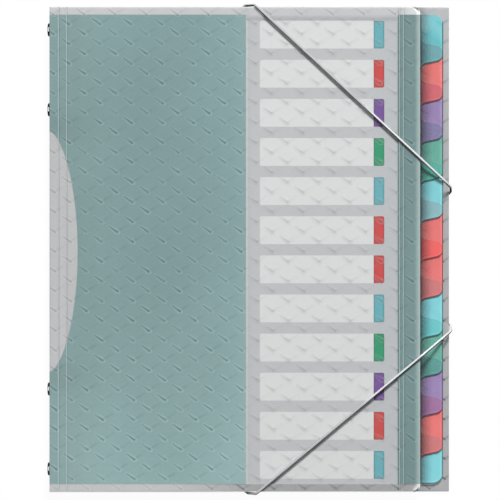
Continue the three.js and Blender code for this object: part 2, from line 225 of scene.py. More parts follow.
def rounded_end(columns: Array, edge: Span, radius: float, steps: int) -> tuple[Array, Array]:
    """Columns of a sheet with two round corners at its far end, and half its height at each of them.

    The columns along the corners' arc lie at its sines, and the half height there goes with its cosines.

    Args:
        columns: Places of the columns up to the start of the arc.
        edge: Place of the far end along X and of the upper side along Y.
        radius: The corners' radius.
        steps: Number of columns along the arc.

    Returns:
        The places of all columns, and the half heights.
    """
    bend = edge[0] - radius
    arc = bend + radius * np.sin(np.linspace(0, np.pi / 2, steps))
    columns = np.concatenate([columns, arc[1:]])
    drawn = np.clip(columns - bend, 0, radius)
    return columns, edge[1] - radius + np.sqrt(radius**2 - drawn**2)


def relief_slab(u: Array, v: Array, top: Array, bottom: float, edge: Array, smooth: bool = True) -> Surface:
    """Closed slab: a grid of points with heights above, plain walls down its border and one flat face below.

    Args:
        u: Places of the grid's points along the slab.
        v: Places of the grid's points across the slab.
        top: Height of each point.
        bottom: Height of the flat face.
        edge: Distance of each point from the slab's outline.
        smooth: Whether the upper face is shaded as one curved face.

    Returns:
        The slab, with the distance as its edge attribute.
    """
    index = np.arange(u.size).reshape(u.shape)
    above = np.stack([u, v, top], -1).reshape(-1, 3)
    border = grid_border(index)
    below = above[border]
    below[:, 2] = bottom
    foot = u.size + np.arange(len(border))
    walls = np.stack([foot, np.roll(foot, -1), np.roll(border, -1), border], -1)
    return Surface(
        points=np.concatenate([above, below]),
        faces=[grid_quads(index), walls, foot[::-1][None]],
        smooth=[smooth, False, False],
        attributes={"edge": np.concatenate([edge.ravel(), np.full(len(border), edge.max())])},
    )


def two_sided_sheet(flat: Array, quads: Array, low: float, high: float, edge: Array) -> Surface:
    """Closed thin sheet: the same flat faces above and below, and a wall along each edge that is open.

    Args:
        flat: Points of the sheet in X and Y.
        quads: Faces of the sheet, anticlockwise.
        low: Height of the lower side.
        high: Height of the upper side.
        edge: Distance of each point from the outline.

    Returns:
        The sheet, with the distance as its edge attribute.
    """
    count = len(flat)
    above = np.column_stack([flat, np.full(count, high)])
    below = np.column_stack([flat, np.full(count, low)])
    rim = open_edges(quads, count)
    walls = np.stack([rim[:, 0] + count, rim[:, 1] + count, rim[:, 1], rim[:, 0]], -1)
    return Surface(
        points=np.concatenate([above, below]),
        faces=[quads, quads[:, ::-1] + count, walls],
        smooth=[False, False, False],
        attributes={"edge": np.tile(edge, 2)},
    )


def tube(path: Array, radius: Array, reference: Array, pitch: float) -> Surface:
    """Closed tube: at each point of the path, a ring square to the path, of the given radii.

    A ring's first way is the path's direction crossed with the reference, and its second way is square to
    both. UV runs round the tube and along it, in turns and in pitches.

    Args:
        path: Points along the middle.
        radius: Radius for each point of the path and each place round it.
        reference: A direction that the path never follows.
        pitch: Length along the path that counts one in the UV map.

    Returns:
        The tube with flat ends.
    """
    rings, sides = radius.shape
    ahead = np.gradient(path, axis=0)
    ahead /= np.linalg.norm(ahead, axis=1, keepdims=True)
    across = np.cross(ahead, reference)
    across /= np.linalg.norm(across, axis=1, keepdims=True)
    upward = np.cross(across, ahead)
    turn = np.linspace(0, 2 * np.pi, sides, endpoint=False)
    spoke = np.cos(turn)[None, :, None] * across[:, None] + np.sin(turn)[None, :, None] * upward[:, None]
    points = path[:, None] + radius[..., None] * spoke
    index = np.arange(rings * sides).reshape(rings, sides)
    closed = np.concatenate([index, index[:, :1]], axis=1)
    length = np.concatenate([[0], np.cumsum(np.linalg.norm(np.diff(path, axis=0), axis=1))])
    along, around = np.meshgrid(length / pitch, np.arange(sides + 1) / sides, indexing="ij")
    place = np.stack([around, along], -1)
    numbers = np.arange(rings * (sides + 1)).reshape(rings, sides + 1)
    ends = [index[:1], index[-1:, ::-1]]
    end_uv = [np.tile(np.array([0.0, end]), (1, sides, 1)) for end in (0.0, length[-1] / pitch)]
    return Surface(
        points=points.reshape(-1, 3),
        faces=[grid_quads(closed), *ends],
        smooth=[True, False, False],
        uv=[place.reshape(-1, 2)[grid_quads(numbers)], *end_uv],
    )


def revolved(profile: Array, centre: Vector, sides: int) -> Surface:
    """Solid of revolution about X: each point of the profile, a distance along X and a radius, goes round.

    Args:
        profile: Pairs of a place along X and a radius, as a closed line or one that ends on the axis.
        centre: A point on the axis, from which X is measured.
        sides: Number of places round the axis.

    Returns:
        The closed solid, with the cosine of each point's angle from Y as its side attribute.
    """
    turn = np.linspace(0, 2 * np.pi, sides, endpoint=False)
    along, radius = profile[:, :1], profile[:, 1:]
    spread = [along + 0 * turn, radius * np.cos(turn), radius * np.sin(turn)]
    points = np.stack(spread, -1).reshape(-1, 3) + np.array(centre)
    index = np.arange(profile.shape[0] * sides).reshape(-1, sides)
    closed = np.concatenate([index, index[:, :1]], axis=1)
    return Surface(
        points=points,
        faces=[grid_quads(closed)],
        smooth=[True],
        attributes={"side": np.tile(np.cos(turn), len(profile))},
    )


# Shader trees


def emptied(owner: bpy.types.Material | bpy.types.World) -> bpy.types.NodeTree:
    """The node tree of a material or a world, without its first nodes."""
    owner.use_nodes = True
    owner.node_tree.nodes.clear()
    return owner.node_tree


class Tree:
    """A shader node tree, written as calls that each give back an output socket."""

    def __init__(self, tree: bpy.types.NodeTree) -> None:
        """Starts on the node tree to write into."""
        self.tree = tree

    def feed(self, target: Socket, value: Value | Point | Colour) -> None:
        """Links a socket into the target, or sets the target's own value."""
        if isinstance(value, bpy.types.NodeSocket):
            self.tree.links.new(value, target)
        else:
            target.default_value = value

    def node(self, kind: str, inputs: dict | None = None, **settings: object) -> bpy.types.Node:
        """Adds a node.

        Args:
            kind: The node's type.
            inputs: Values or sockets for its inputs, by name or place.
            **settings: The node's own properties.

        Returns:
            The new node.
        """
        made = self.tree.nodes.new(kind)
        for key, value in settings.items():
            setattr(made, key, value)
        for key, value in (inputs or {}).items():
            self.feed(made.inputs[key], value)
        return made

    def math(self, operation: str, *values: Value, clamp: bool = False) -> Socket:
        """One step of arithmetic on one to three values."""
        inputs = dict(enumerate(values))
        return self.node("ShaderNodeMath", inputs, operation=operation, use_clamp=clamp).outputs[0]

    def times(self, first: Value, second: Value) -> Socket:
        """The product of two values."""
        return self.math("MULTIPLY", first, second)

    def less(self, first: Value, second: Value, clamp: bool = False) -> Socket:
        """The first value less the second."""
        return self.math("SUBTRACT", first, second, clamp=clamp)

    def larger(self, first: Value, second: Value) -> Socket:
        """The larger one of two values."""
        return self.math("MAXIMUM", first, second)

    def scaled(self, value: Value, factor: Value, base: Value, clamp: bool = False) -> Socket:
        """A value times a factor, added to a base."""
        return self.math("MULTIPLY_ADD", value, factor, base, clamp=clamp)

    def vector(self, operation: str, *values: Socket | Point) -> Socket:
        """One step of arithmetic on vectors, giving a vector."""
        inputs = dict(enumerate(values))
        return self.node("ShaderNodeVectorMath", inputs, operation=operation).outputs["Vector"]

    def measure(self, operation: str, *values: Socket | Point) -> Socket:
        """One step of arithmetic on vectors, giving a number such as a length."""
        inputs = dict(enumerate(values))
        return self.node("ShaderNodeVectorMath", inputs, operation=operation).outputs["Value"]

    def remap(self, value: Socket, low: float, high: float, to_low: float = 0, to_high: float = 1) -> Socket:
        """A smooth step from one value to another while the input goes from low to high."""
        inputs = {0: value, 1: low, 2: high, 3: to_low, 4: to_high}
        return self.node("ShaderNodeMapRange", inputs, interpolation_type="SMOOTHSTEP").outputs[0]

    def mix(self, share: Value, first: Socket | Colour, second: Socket | Colour) -> Socket:
        """A colour between two, by the share of the second."""
        inputs = {0: share, 6: first, 7: second}
        return self.node("ShaderNodeMix", inputs, data_type="RGBA").outputs[2]

    def shade(self, colour: Socket | Colour, level: Socket) -> Socket:
        """A colour made darker or lighter by a factor."""
        grey = self.node("ShaderNodeCombineColor", {0: level, 1: level, 2: level}).outputs[0]
        return self.tint(colour, grey)

    def tint(self, colour: Socket | Colour, by: Socket) -> Socket:
        """A colour multiplied by another one."""
        inputs = {0: 1.0, 6: colour, 7: by}
        return self.node("ShaderNodeMix", inputs, data_type="RGBA", blend_type="MULTIPLY").outputs[2]

    def noise(self, place: Socket, scale: float, detail: float = 3.0) -> Socket:
        """Cloudy noise from 0 to 1."""
        inputs = {"Vector": place, "Scale": scale, "Detail": detail}
        return self.node("ShaderNodeTexNoise", inputs).outputs[0]

    def parts(self, place: Socket) -> tuple[Socket, Socket, Socket]:
        """The three numbers of a vector."""
        return tuple(self.node("ShaderNodeSeparateXYZ", {0: place}).outputs)

    def joined(self, *values: Value) -> Socket:
        """A vector of up to three numbers."""
        return self.node("ShaderNodeCombineXYZ", dict(enumerate(values))).outputs[0]

    def group(self, shared: bpy.types.NodeTree, **inputs: Value | Point) -> dict[str, Socket]:
        """Places a shared group.

        Args:
            shared: The group.
            **inputs: What its inputs take, with underscores in their names for spaces.

        Returns:
            Its output sockets by name.
        """
        named = {key.replace("_", " "): value for key, value in inputs.items()}
        placed = self.node("ShaderNodeGroup", node_tree=shared)
        for key, value in named.items():
            self.feed(placed.inputs[key], value)
        return {socket.name: socket for socket in placed.outputs}

    def attribute(self, name: str) -> Socket:
        """A number that the mesh holds for each point."""
        return self.node("ShaderNodeAttribute", attribute_name=name).outputs["Fac"]


class SharedGroup(Tree):
    """A node group with named inputs and outputs."""

    def __init__(self, name: str, inputs: dict[str, str], outputs: dict[str, str]) -> None:
        """Makes the group's sockets.

        Args:
            name: The group's name.
            inputs: Names of the inputs, with Vector or Float.
            outputs: Names of the outputs, with Vector or Float.
        """
        super().__init__(bpy.data.node_groups.new(name, "ShaderNodeTree"))
        for side, sockets in (("INPUT", inputs), ("OUTPUT", outputs)):
            for key, kind in sockets.items():
                self.tree.interface.new_socket(key, in_out=side, socket_type=f"NodeSocket{kind}")
        self.given = self.node("NodeGroupInput").outputs
        self.result = self.node("NodeGroupOutput").inputs

    def give(self, **results: Socket) -> bpy.types.NodeTree:
        """Feeds the group's outputs and gives back its tree."""
        for key, value in results.items():
            self.feed(self.result[key], value)
        return self.tree


@dataclass(frozen=True)
class Stroke:
    """One stroke of a mark: a straight run whose half width and level go evenly from start to end.

    Its flanks, which the materials paint as highlight, rise and fall between shares of the half width.
    """

    start: Span
    end: Span
    widths: Span
    levels: Span
    flank_rise: Span = (0.5, 1.0)
    flank_fall: Span = (2.1, 1.0)

    def relief(self, u: Array, v: Array) -> Array:
        """Height along the stroke: the cosine bell of the distance to its run, times the level there.

        Args:
            u: Places along the sheet, from the mark.
            v: Places across it, from the mark.

        Returns:
            The height, from none to one.
        """
        run = np.subtract(self.end, self.start)
        share = np.clip(((u - self.start[0]) * run[0] + (v - self.start[1]) * run[1]) / (run @ run), 0, 1)
        away = np.hypot(u - self.start[0] - share * run[0], v - self.start[1] - share * run[1])
        width = self.widths[0] + share * (self.widths[1] - self.widths[0])
        level = self.levels[0] + share * (self.levels[1] - self.levels[0])
        return level * (0.5 + 0.5 * np.cos(np.pi * np.clip(away / width, 0, 1)))

    def masks(self, tree: Tree, near: Socket) -> tuple[Socket, Socket]:
        """The stroke as a mask for painted shade, and the ring of flanks round it for painted highlight.

        Args:
            tree: The tree to write into.
            near: Place from the mark.

        Returns:
            The sockets of the stroke's painted shade and of its flanks' painted highlight.
        """
        run = np.subtract(self.end, self.start)
        ahead = tree.vector("SUBTRACT", near, (*self.start, 0.0))
        along = tree.measure("DOT_PRODUCT", ahead, (*(run / (run @ run)), 0.0))
        share = tree.larger(tree.math("MINIMUM", along, 1.0), 0.0)
        reach = tree.joined(tree.times(share, run[0]), tree.times(share, run[1]))
        away = tree.measure("LENGTH", tree.vector("SUBTRACT", ahead, reach))
        width = tree.scaled(share, self.widths[1] - self.widths[0], self.widths[0])
        level = tree.scaled(share, self.levels[1] - self.levels[0], self.levels[0])
        reached = tree.math("DIVIDE", away, width)
        stroke = tree.times(tree.remap(reached, 1.0, 0.0), level)
        rise, fall = tree.remap(reached, *self.flank_rise), tree.remap(reached, *self.flank_fall)
        return stroke, tree.times(tree.times(rise, fall), level)


@dataclass(frozen=True)
class TickEmboss:
    """Tick marks on the cover film, in rows of which every other one is moved by half a pitch.

    A mark is a strong stroke down to the right and a faint one up again. Both meshes and materials
    follow it, and the materials paint its strokes as shade and the strong stroke's flanks as highlight.
    The columns lean by a slight slant, and in the materials the strokes wander a little.
    """

    pitch_x: float = 19.66 * MM
    pitch_y: float = 6.258 * MM
    slant: float = 0.0076
    first_x: float = from_spine(31.6 * MM)
    first_y: float = 143.4 * MM
    middle: float = 0.65 * MM
    strong: Stroke = Stroke(
        start=(-3.7 * MM, 2.7 * MM),
        end=(1.5 * MM, -1.0 * MM),
        widths=(0.6 * MM, 1.15 * MM),
        levels=(0.55, 0.95),
    )
    faint: Stroke = Stroke(
        start=(1.6 * MM, -0.5 * MM),
        end=(7.7 * MM, 3.2 * MM),
        widths=(1.3 * MM, 1.3 * MM),
        levels=(0.42, 0.16),
    )
    height: float = 0.06 * MM
    wander: float = 0.9 * MM
    wander_noise: Span = (330.0, 2.0)

    def relief(self, u: Array, v: Array) -> Array:
        """Height of the marks: each point is taken to its nearest mark and measured from its strokes.

        Args:
            u: Places along the sheet.
            v: Places across it.

        Returns:
            The height of the film's face above its flat level.
        """
        row = np.round((v - self.first_y - self.middle) / self.pitch_y)
        shift = self.first_x + (row % 2) * self.pitch_x / 2
        beside = u + self.slant * v - shift
        near_u = beside - np.round(beside / self.pitch_x) * self.pitch_x
        near_v = v - self.first_y - row * self.pitch_y
        strokes = np.maximum(self.strong.relief(near_u, near_v), self.faint.relief(near_u, near_v))
        return self.height * strokes

    def group(self) -> bpy.types.NodeTree:
        """The same marks as masks: the strong stroke's flanks for painted highlight, and both strokes for
        painted shade.
        """
        tree = SharedGroup("Tick Emboss", {"Vector": "Vector"}, dict.fromkeys(("Lit", "Shaded"), "Float"))
        x, y, _ = tree.parts(tree.given["Vector"])
        down = tree.less(y, self.first_y)
        row = tree.math("ROUND", tree.math("DIVIDE", tree.less(down, self.middle), self.pitch_y))
        moved = tree.times(tree.math("FLOORED_MODULO", row, 2.0), self.pitch_x / 2)
        upright = tree.scaled(y, self.slant, x)
        beside = tree.less(tree.less(upright, self.first_x), moved)
        column = tree.math("ROUND", tree.math("DIVIDE", beside, self.pitch_x))
        wave = tree.less(tree.noise(tree.given["Vector"], *self.wander_noise), 0.5)
        wandering = tree.scaled(wave, self.wander, down)
        near = tree.joined(
            tree.less(beside, tree.times(column, self.pitch_x)),
            tree.less(wandering, tree.times(row, self.pitch_y)),
        )
        strong, flanks = self.strong.masks(tree, near)
        faint, _ = self.faint.masks(tree, near)
        return tree.give(Lit=flanks, Shaded=tree.larger(strong, faint))


@dataclass(frozen=True)
class SatinFilm:
    """Satin face of film: slow clouds, a fine grain and long faint scuffs."""

    cloud_noise: Span = (14.0, 2.0)
    grain_noise: Span = (1600.0, 2.0)
    scuff_noise: Span = (420.0, 4.0)
    scuff_stretch: Point = (1.0, 0.12, 1.0)
    scuff_from: Span = (0.62, 0.8)
    cloud_share: float = 0.6
    scuff_share: float = 0.5

    def group(self) -> bpy.types.NodeTree:
        """The face as tone, gloss and height."""
        outputs = dict.fromkeys(("Tone", "Gloss", "Height"), "Float")
        tree = SharedGroup("Satin Film", {"Vector": "Vector"}, outputs)
        place = tree.given["Vector"]
        clouds = tree.noise(place, *self.cloud_noise)
        grain = tree.noise(place, *self.grain_noise)
        stretched = tree.vector("MULTIPLY", place, self.scuff_stretch)
        scuffs = tree.remap(tree.noise(stretched, *self.scuff_noise), *self.scuff_from)
        tone = self.blended(tree, clouds, grain, self.cloud_share)
        gloss = self.blended(tree, scuffs, clouds, self.scuff_share)
        return tree.give(Tone=tone, Gloss=gloss, Height=grain)

    def blended(self, tree: Tree, first: Socket, second: Socket, share: float) -> Socket:
        """A share of the first value, and what is left of one of the second."""
        return tree.scaled(first, share, tree.times(second, 1.0 - share))


def field_group() -> bpy.types.NodeTree:
    """Printed field: one inside a box with round corners.

    The box is drawn in by the radius. The distance outside it, or the depth inside it, less the radius is
    below zero in the field.
    """
    inputs = {"Vector": "Vector", "Centre": "Vector", "Half Size": "Vector", "Radius": "Float"}
    tree = SharedGroup("Printed Field", inputs, {"Mask": "Float"})
    softness = 0.12 * MM
    offset = tree.vector("ABSOLUTE", tree.vector("SUBTRACT", tree.given["Vector"], tree.given["Centre"]))
    radius = tree.given["Radius"]
    core = tree.vector("SUBTRACT", tree.given["Half Size"], tree.joined(radius, radius, 0.0))
    past = tree.vector("SUBTRACT", offset, core)
    outside = tree.vector("MULTIPLY", tree.vector("MAXIMUM", past, (0.0, 0.0, 0.0)), (1.0, 1.0, 0.0))
    past_x, past_y, _ = tree.parts(past)
    depth = tree.math("MINIMUM", tree.larger(past_x, past_y), 0.0)
    away = tree.less(tree.math("ADD", tree.measure("LENGTH", outside), depth), radius)
    return tree.give(Mask=tree.remap(away, softness, -softness))


def edge_group() -> bpy.types.NodeTree:
    """Cut edge: one on the outline of a sheet, falling to none a width away from it."""
    tree = SharedGroup("Cut Edge", {"Distance": "Float", "Width": "Float"}, {"Mask": "Float"})
    full_share = 0.35
    share = tree.math("DIVIDE", tree.given["Distance"], tree.given["Width"])
    return tree.give(Mask=tree.remap(share, 1.0, full_share))


EMBOSS = TickEmboss()
TICKS = EMBOSS.group()
SATIN = SatinFilm().group()
FIELD = field_group()
CUT_EDGE = edge_group()


class Dressing(Tree):
    """A material in the making: its coordinates, its Principled shader and the film effects on it."""

    def __init__(self, name: str, lie: Lie = Lie.FLAT) -> None:
        """Starts the material.

        Args:
            name: The material's name.
            lie: How the sheet lies, which turns the pattern's plane.
        """
        self.material = bpy.data.materials.new(name)
        super().__init__(emptied(self.material))
        self.shader = self.node("ShaderNodeBsdfPrincipled")
        self.node("ShaderNodeOutputMaterial", {"Surface": self.shader.outputs[0]})
        coordinates = self.node("ShaderNodeTexCoord").outputs
        self.place, self.uv = coordinates["Object"], coordinates["UV"]
        self.x, self.y, self.z = self.parts(self.place)
        self.plane = self.joined(self.z, self.y) if lie is Lie.ON_EDGE else self.place

    def set(self, **values: Value | Colour) -> None:
        """Feeds the shader's sockets, with underscores in their names for spaces."""
        for key, value in values.items():
            self.feed(self.shader.inputs[key.replace("_", " ")], value)

    def bump(self, height: Socket, depth: float, strength: float) -> None:
        """Feeds a height, of the given depth in metres, to the shader's normal."""
        inputs = {"Height": height, "Distance": depth, "Strength": strength}
        self.set(Normal=self.node("ShaderNodeBump", inputs).outputs[0])

    def cut_edge(self, width: float, attribute: str = "edge") -> Socket:
        """Mask of an edge of the given width, by the distance that the mesh holds."""
        return self.group(CUT_EDGE, Distance=self.attribute(attribute), Width=width)["Mask"]

    def field(self, place: Socket, x: Span, y: Span, radius: float = 0.0) -> Socket:
        """Mask of a printed field.

        Args:
            place: The coordinates in which it lies.
            x: Its left and right side.
            y: Its lower and upper side.
            radius: Radius of its corners.

        Returns:
            The mask's socket.
        """
        centre = (sum(x) / 2, sum(y) / 2, 0.0)
        half = ((x[1] - x[0]) / 2, (y[1] - y[0]) / 2, 0.0)
        return self.group(FIELD, Vector=place, Centre=centre, Half_Size=half, Radius=radius)["Mask"]


# Finishes
# A field of two numbers holds the values between which an effect sets in, or a noise's scale and detail.
# A relief holds a bump's depth and strength.


@dataclass(frozen=True)
class CoverPrint:
    """Print on the cover's reverse: a block at the spine with a lens cut out, and a fore-edge strip."""

    dark: Colour = srgb(107, 133, 134)
    light: Colour = srgb(138, 165, 165)
    # Colour of the pale lines: painted highlight on ridges and cut edges, at the creases also film whitened
    # by folding.
    ridge: Colour = srgb(208, 224, 220)
    block_right: float = from_spine(124.3 * MM)
    strip_left: float = from_spine(220.45 * MM)
    half_height: float = 148.5 * MM
    beyond: float = 20.0 * MM
    lens_depth: float = 18.0 * MM
    lens_half_height: float = 76.2 * MM
    lens_middle: float = -1.3 * MM
    lens_power: float = 0.6
    lens_side: Span = (0.0, 0.25 * MM)
    lens_tip: Span = (0.0, 0.01)
    tone_middle: Point = (from_spine(66 * MM), 60 * MM, 0.0)
    tone_reach: Span = (88 * MM, 215 * MM)
    tone_start: float = -0.15
    tone_rise: float = 0.75
    tone_until: Span = (from_spine(200 * MM), from_spine(150 * MM))
    tone_clouds: float = 0.6
    # Painted shade towards the spine and round the lens's tips.
    spine_reach: Span = (from_spine(42 * MM), from_spine(0.0))
    spine_shade: float = 0.16
    tip_past: float = 3 * MM
    tip_reach: Span = (16 * MM, 2 * MM)
    tip_shade: float = 0.1
    strip_blur: float = 1 * MM
    strip_shade: float = 0.145
    # The ticks' painted shade and painted highlight on the print.
    tick_shade: float = 0.4
    tick_light: float = 0.24
    uneven_noise: Span = (110.0, 3.0)
    uneven_from: Span = (0.35, 0.65)
    uneven: Span = (0.45, 1.3)
    mottle_noise: Span = (500.0, 2.0)
    mottle: float = 0.1
    # Painted highlight along the print's cut edge.
    edge_light: float = 0.12

    def mask(self, film: Dressing, lie: Lie) -> Socket:
        """One where there is print.

        The lens's edge lies at its depth times a power of one less the square of the height's share.

        Args:
            film: The material.
            lie: How the sheet lies. The spine is printed as the block's edge is.

        Returns:
            The mask's socket.
        """
        rows = (-self.half_height, self.half_height)
        block = film.field(film.place, (SPINE_X - self.beyond, self.block_right), rows)
        strip = film.field(film.place, (self.strip_left, self.strip_left + self.beyond), rows)
        share = film.math("DIVIDE", film.less(film.y, self.lens_middle), self.lens_half_height)
        room = film.less(1.0, film.times(share, share), clamp=True)
        depth = film.times(film.math("POWER", room, self.lens_power), self.lens_depth)
        distance = 0.0 if lie is Lie.ON_EDGE else film.less(film.x, SPINE_X)
        inside = film.remap(film.less(depth, distance), *self.lens_side)
        lens = film.times(inside, film.remap(room, *self.lens_tip))
        return film.less(film.larger(block, strip), lens, clamp=True)

    def tone(self, film: Dressing, clouds: Socket) -> Socket:
        """Share of the lighter ink: it grows with the square of the distance from the block's middle.

        Args:
            film: The material.
            clouds: The satin film's tone.

        Returns:
            The share's socket.
        """
        offset = film.vector("SUBTRACT", film.place, self.tone_middle)
        scale = (1 / self.tone_reach[0], 1 / self.tone_reach[1], 0.0)
        away = film.measure("LENGTH", film.vector("MULTIPLY", offset, scale))
        rise = film.times(film.times(away, away), self.tone_rise)
        rise = film.scaled(rise, film.remap(film.x, *self.tone_until), self.tone_start)
        return film.scaled(clouds, self.tone_clouds, rise, clamp=True)

    def spine_level(self, film: Dressing) -> Socket:
        """Level of the print, with painted shade towards the spine, and there a little more at the lens's
        tips.

        Args:
            film: The material.

        Returns:
            The level's socket.
        """
        near = film.remap(film.x, *self.spine_reach)
        height = film.math("ABSOLUTE", film.less(film.y, self.lens_middle))
        past = film.less(height, self.lens_half_height + self.tip_past)
        tip = film.remap(film.math("ABSOLUTE", past), *self.tip_reach)
        shade = film.scaled(tip, self.tip_shade, self.spine_shade)
        return film.less(1.0, film.times(near, shade))

    def ink(
        self, film: Dressing, ticks: dict[str, Socket], clouds: Socket, furrow: Socket, pale: Socket
    ) -> Socket:
        """Colour of the print: two inks by the tone, the ticks' painted shade and highlight, painted shade
        in furrows, and pale ridges.

        Args:
            film: The material.
            ticks: Masks of the ticks.
            clouds: The satin film's tone.
            furrow: Depth of the lines pressed down, painted as shade.
            pale: Share of the ridge's colour, painted as highlight.

        Returns:
            The colour's socket.
        """
        colour = film.mix(self.tone(film, clouds), self.dark, self.light)
        uneven = film.remap(film.noise(film.plane, *self.uneven_noise), *self.uneven_from, *self.uneven)
        mottle = film.less(film.noise(film.plane, *self.mottle_noise), 0.5)
        # Painted shade on the ticks' strokes and painted highlight on their flanks.
        shaded = film.times(ticks["Shaded"], -self.tick_shade)
        marks = film.scaled(ticks["Lit"], self.tick_light, shaded)
        # Painted shade in the furrows.
        level = film.less(film.scaled(marks, uneven, 1.0), furrow)
        outer = film.remap(film.x, self.strip_left - self.strip_blur, self.strip_left)
        level = film.scaled(outer, -self.strip_shade, level)
        level = film.scaled(mottle, self.mottle, level)
        level = film.times(level, self.spine_level(film))
        return film.mix(pale, film.shade(colour, level), self.ridge)


@dataclass(frozen=True)
class Frost:
    """Frost on the cover film: along its top edge, fainter along its bottom, and in a band at the spine."""

    colour: Colour = srgb(207, 208, 209)
    haze: float = 0.5
    above: Span = (144.7 * MM, 148.5 * MM)
    below: Span = (148.2 * MM, 148.6 * MM)
    below_from: Span = (from_spine(135 * MM), from_spine(70 * MM))
    below_levels: Span = (0.4, 1.3)
    band: Span = (from_spine(19.5 * MM), from_spine(18.5 * MM))
    calm: float = 0.65

    def mask(self, film: Dressing) -> Socket:
        """One where the film is frosted.

        Args:
            film: The material.

        Returns:
            The mask's socket.
        """
        low = film.remap(film.times(film.y, -1.0), *self.below)
        low = film.times(low, film.remap(film.x, *self.below_from, *self.below_levels))
        border = film.larger(film.remap(film.y, *self.above), low)
        return film.larger(border, film.remap(film.x, *self.band))


@dataclass(frozen=True)
class CornerSheen:
    """Painted highlight at the front cover's round corners with painted shadow along their rim, and a
    fainter painted highlight up its fore-edge.
    """

    # Colour of the painted shadow along the corners' outline.
    rim: Colour = srgb(88, 90, 92)
    haze: float = 0.7
    arc_from: Span = (from_spine(228.8 * MM), from_spine(231.2 * MM))
    arc_to: Span = (from_spine(232.8 * MM), from_spine(234.2 * MM))
    reach: Span = (4.2 * MM, 0.3 * MM)
    rim_reach: Span = (1.3 * MM, 0.6 * MM)
    faint: float = 0.3
    faint_from: Span = (from_spine(220 * MM), from_spine(231 * MM))
    faint_above: Span = (0.0, 10 * MM)

    def masks(self, film: Dressing) -> tuple[Socket, Socket]:
        """The painted highlight by the distance from the outline, and the painted shadow on the rim where
        the arc turns.

        Args:
            film: The material.

        Returns:
            The sockets of the painted highlight and of the painted shadow on the rim in it.
        """
        distance = film.attribute("edge")
        arc = film.remap(film.x, *self.arc_from)
        corner = film.times(film.remap(distance, *self.reach), arc)
        upper = film.times(film.remap(film.y, *self.faint_above), self.faint)
        faint = film.times(film.remap(film.x, *self.faint_from), upper)
        sheen = film.larger(corner, faint)
        turned = film.less(arc, film.remap(film.x, *self.arc_to), clamp=True)
        return sheen, film.times(film.remap(distance, *self.rim_reach), turned)


@dataclass(frozen=True)
class PressedLine:
    """A line pressed into the film along its height: up, with painted highlight, where its level is above
    none, and else down, with painted shade.
    """

    place: float
    half_width: float
    level: float


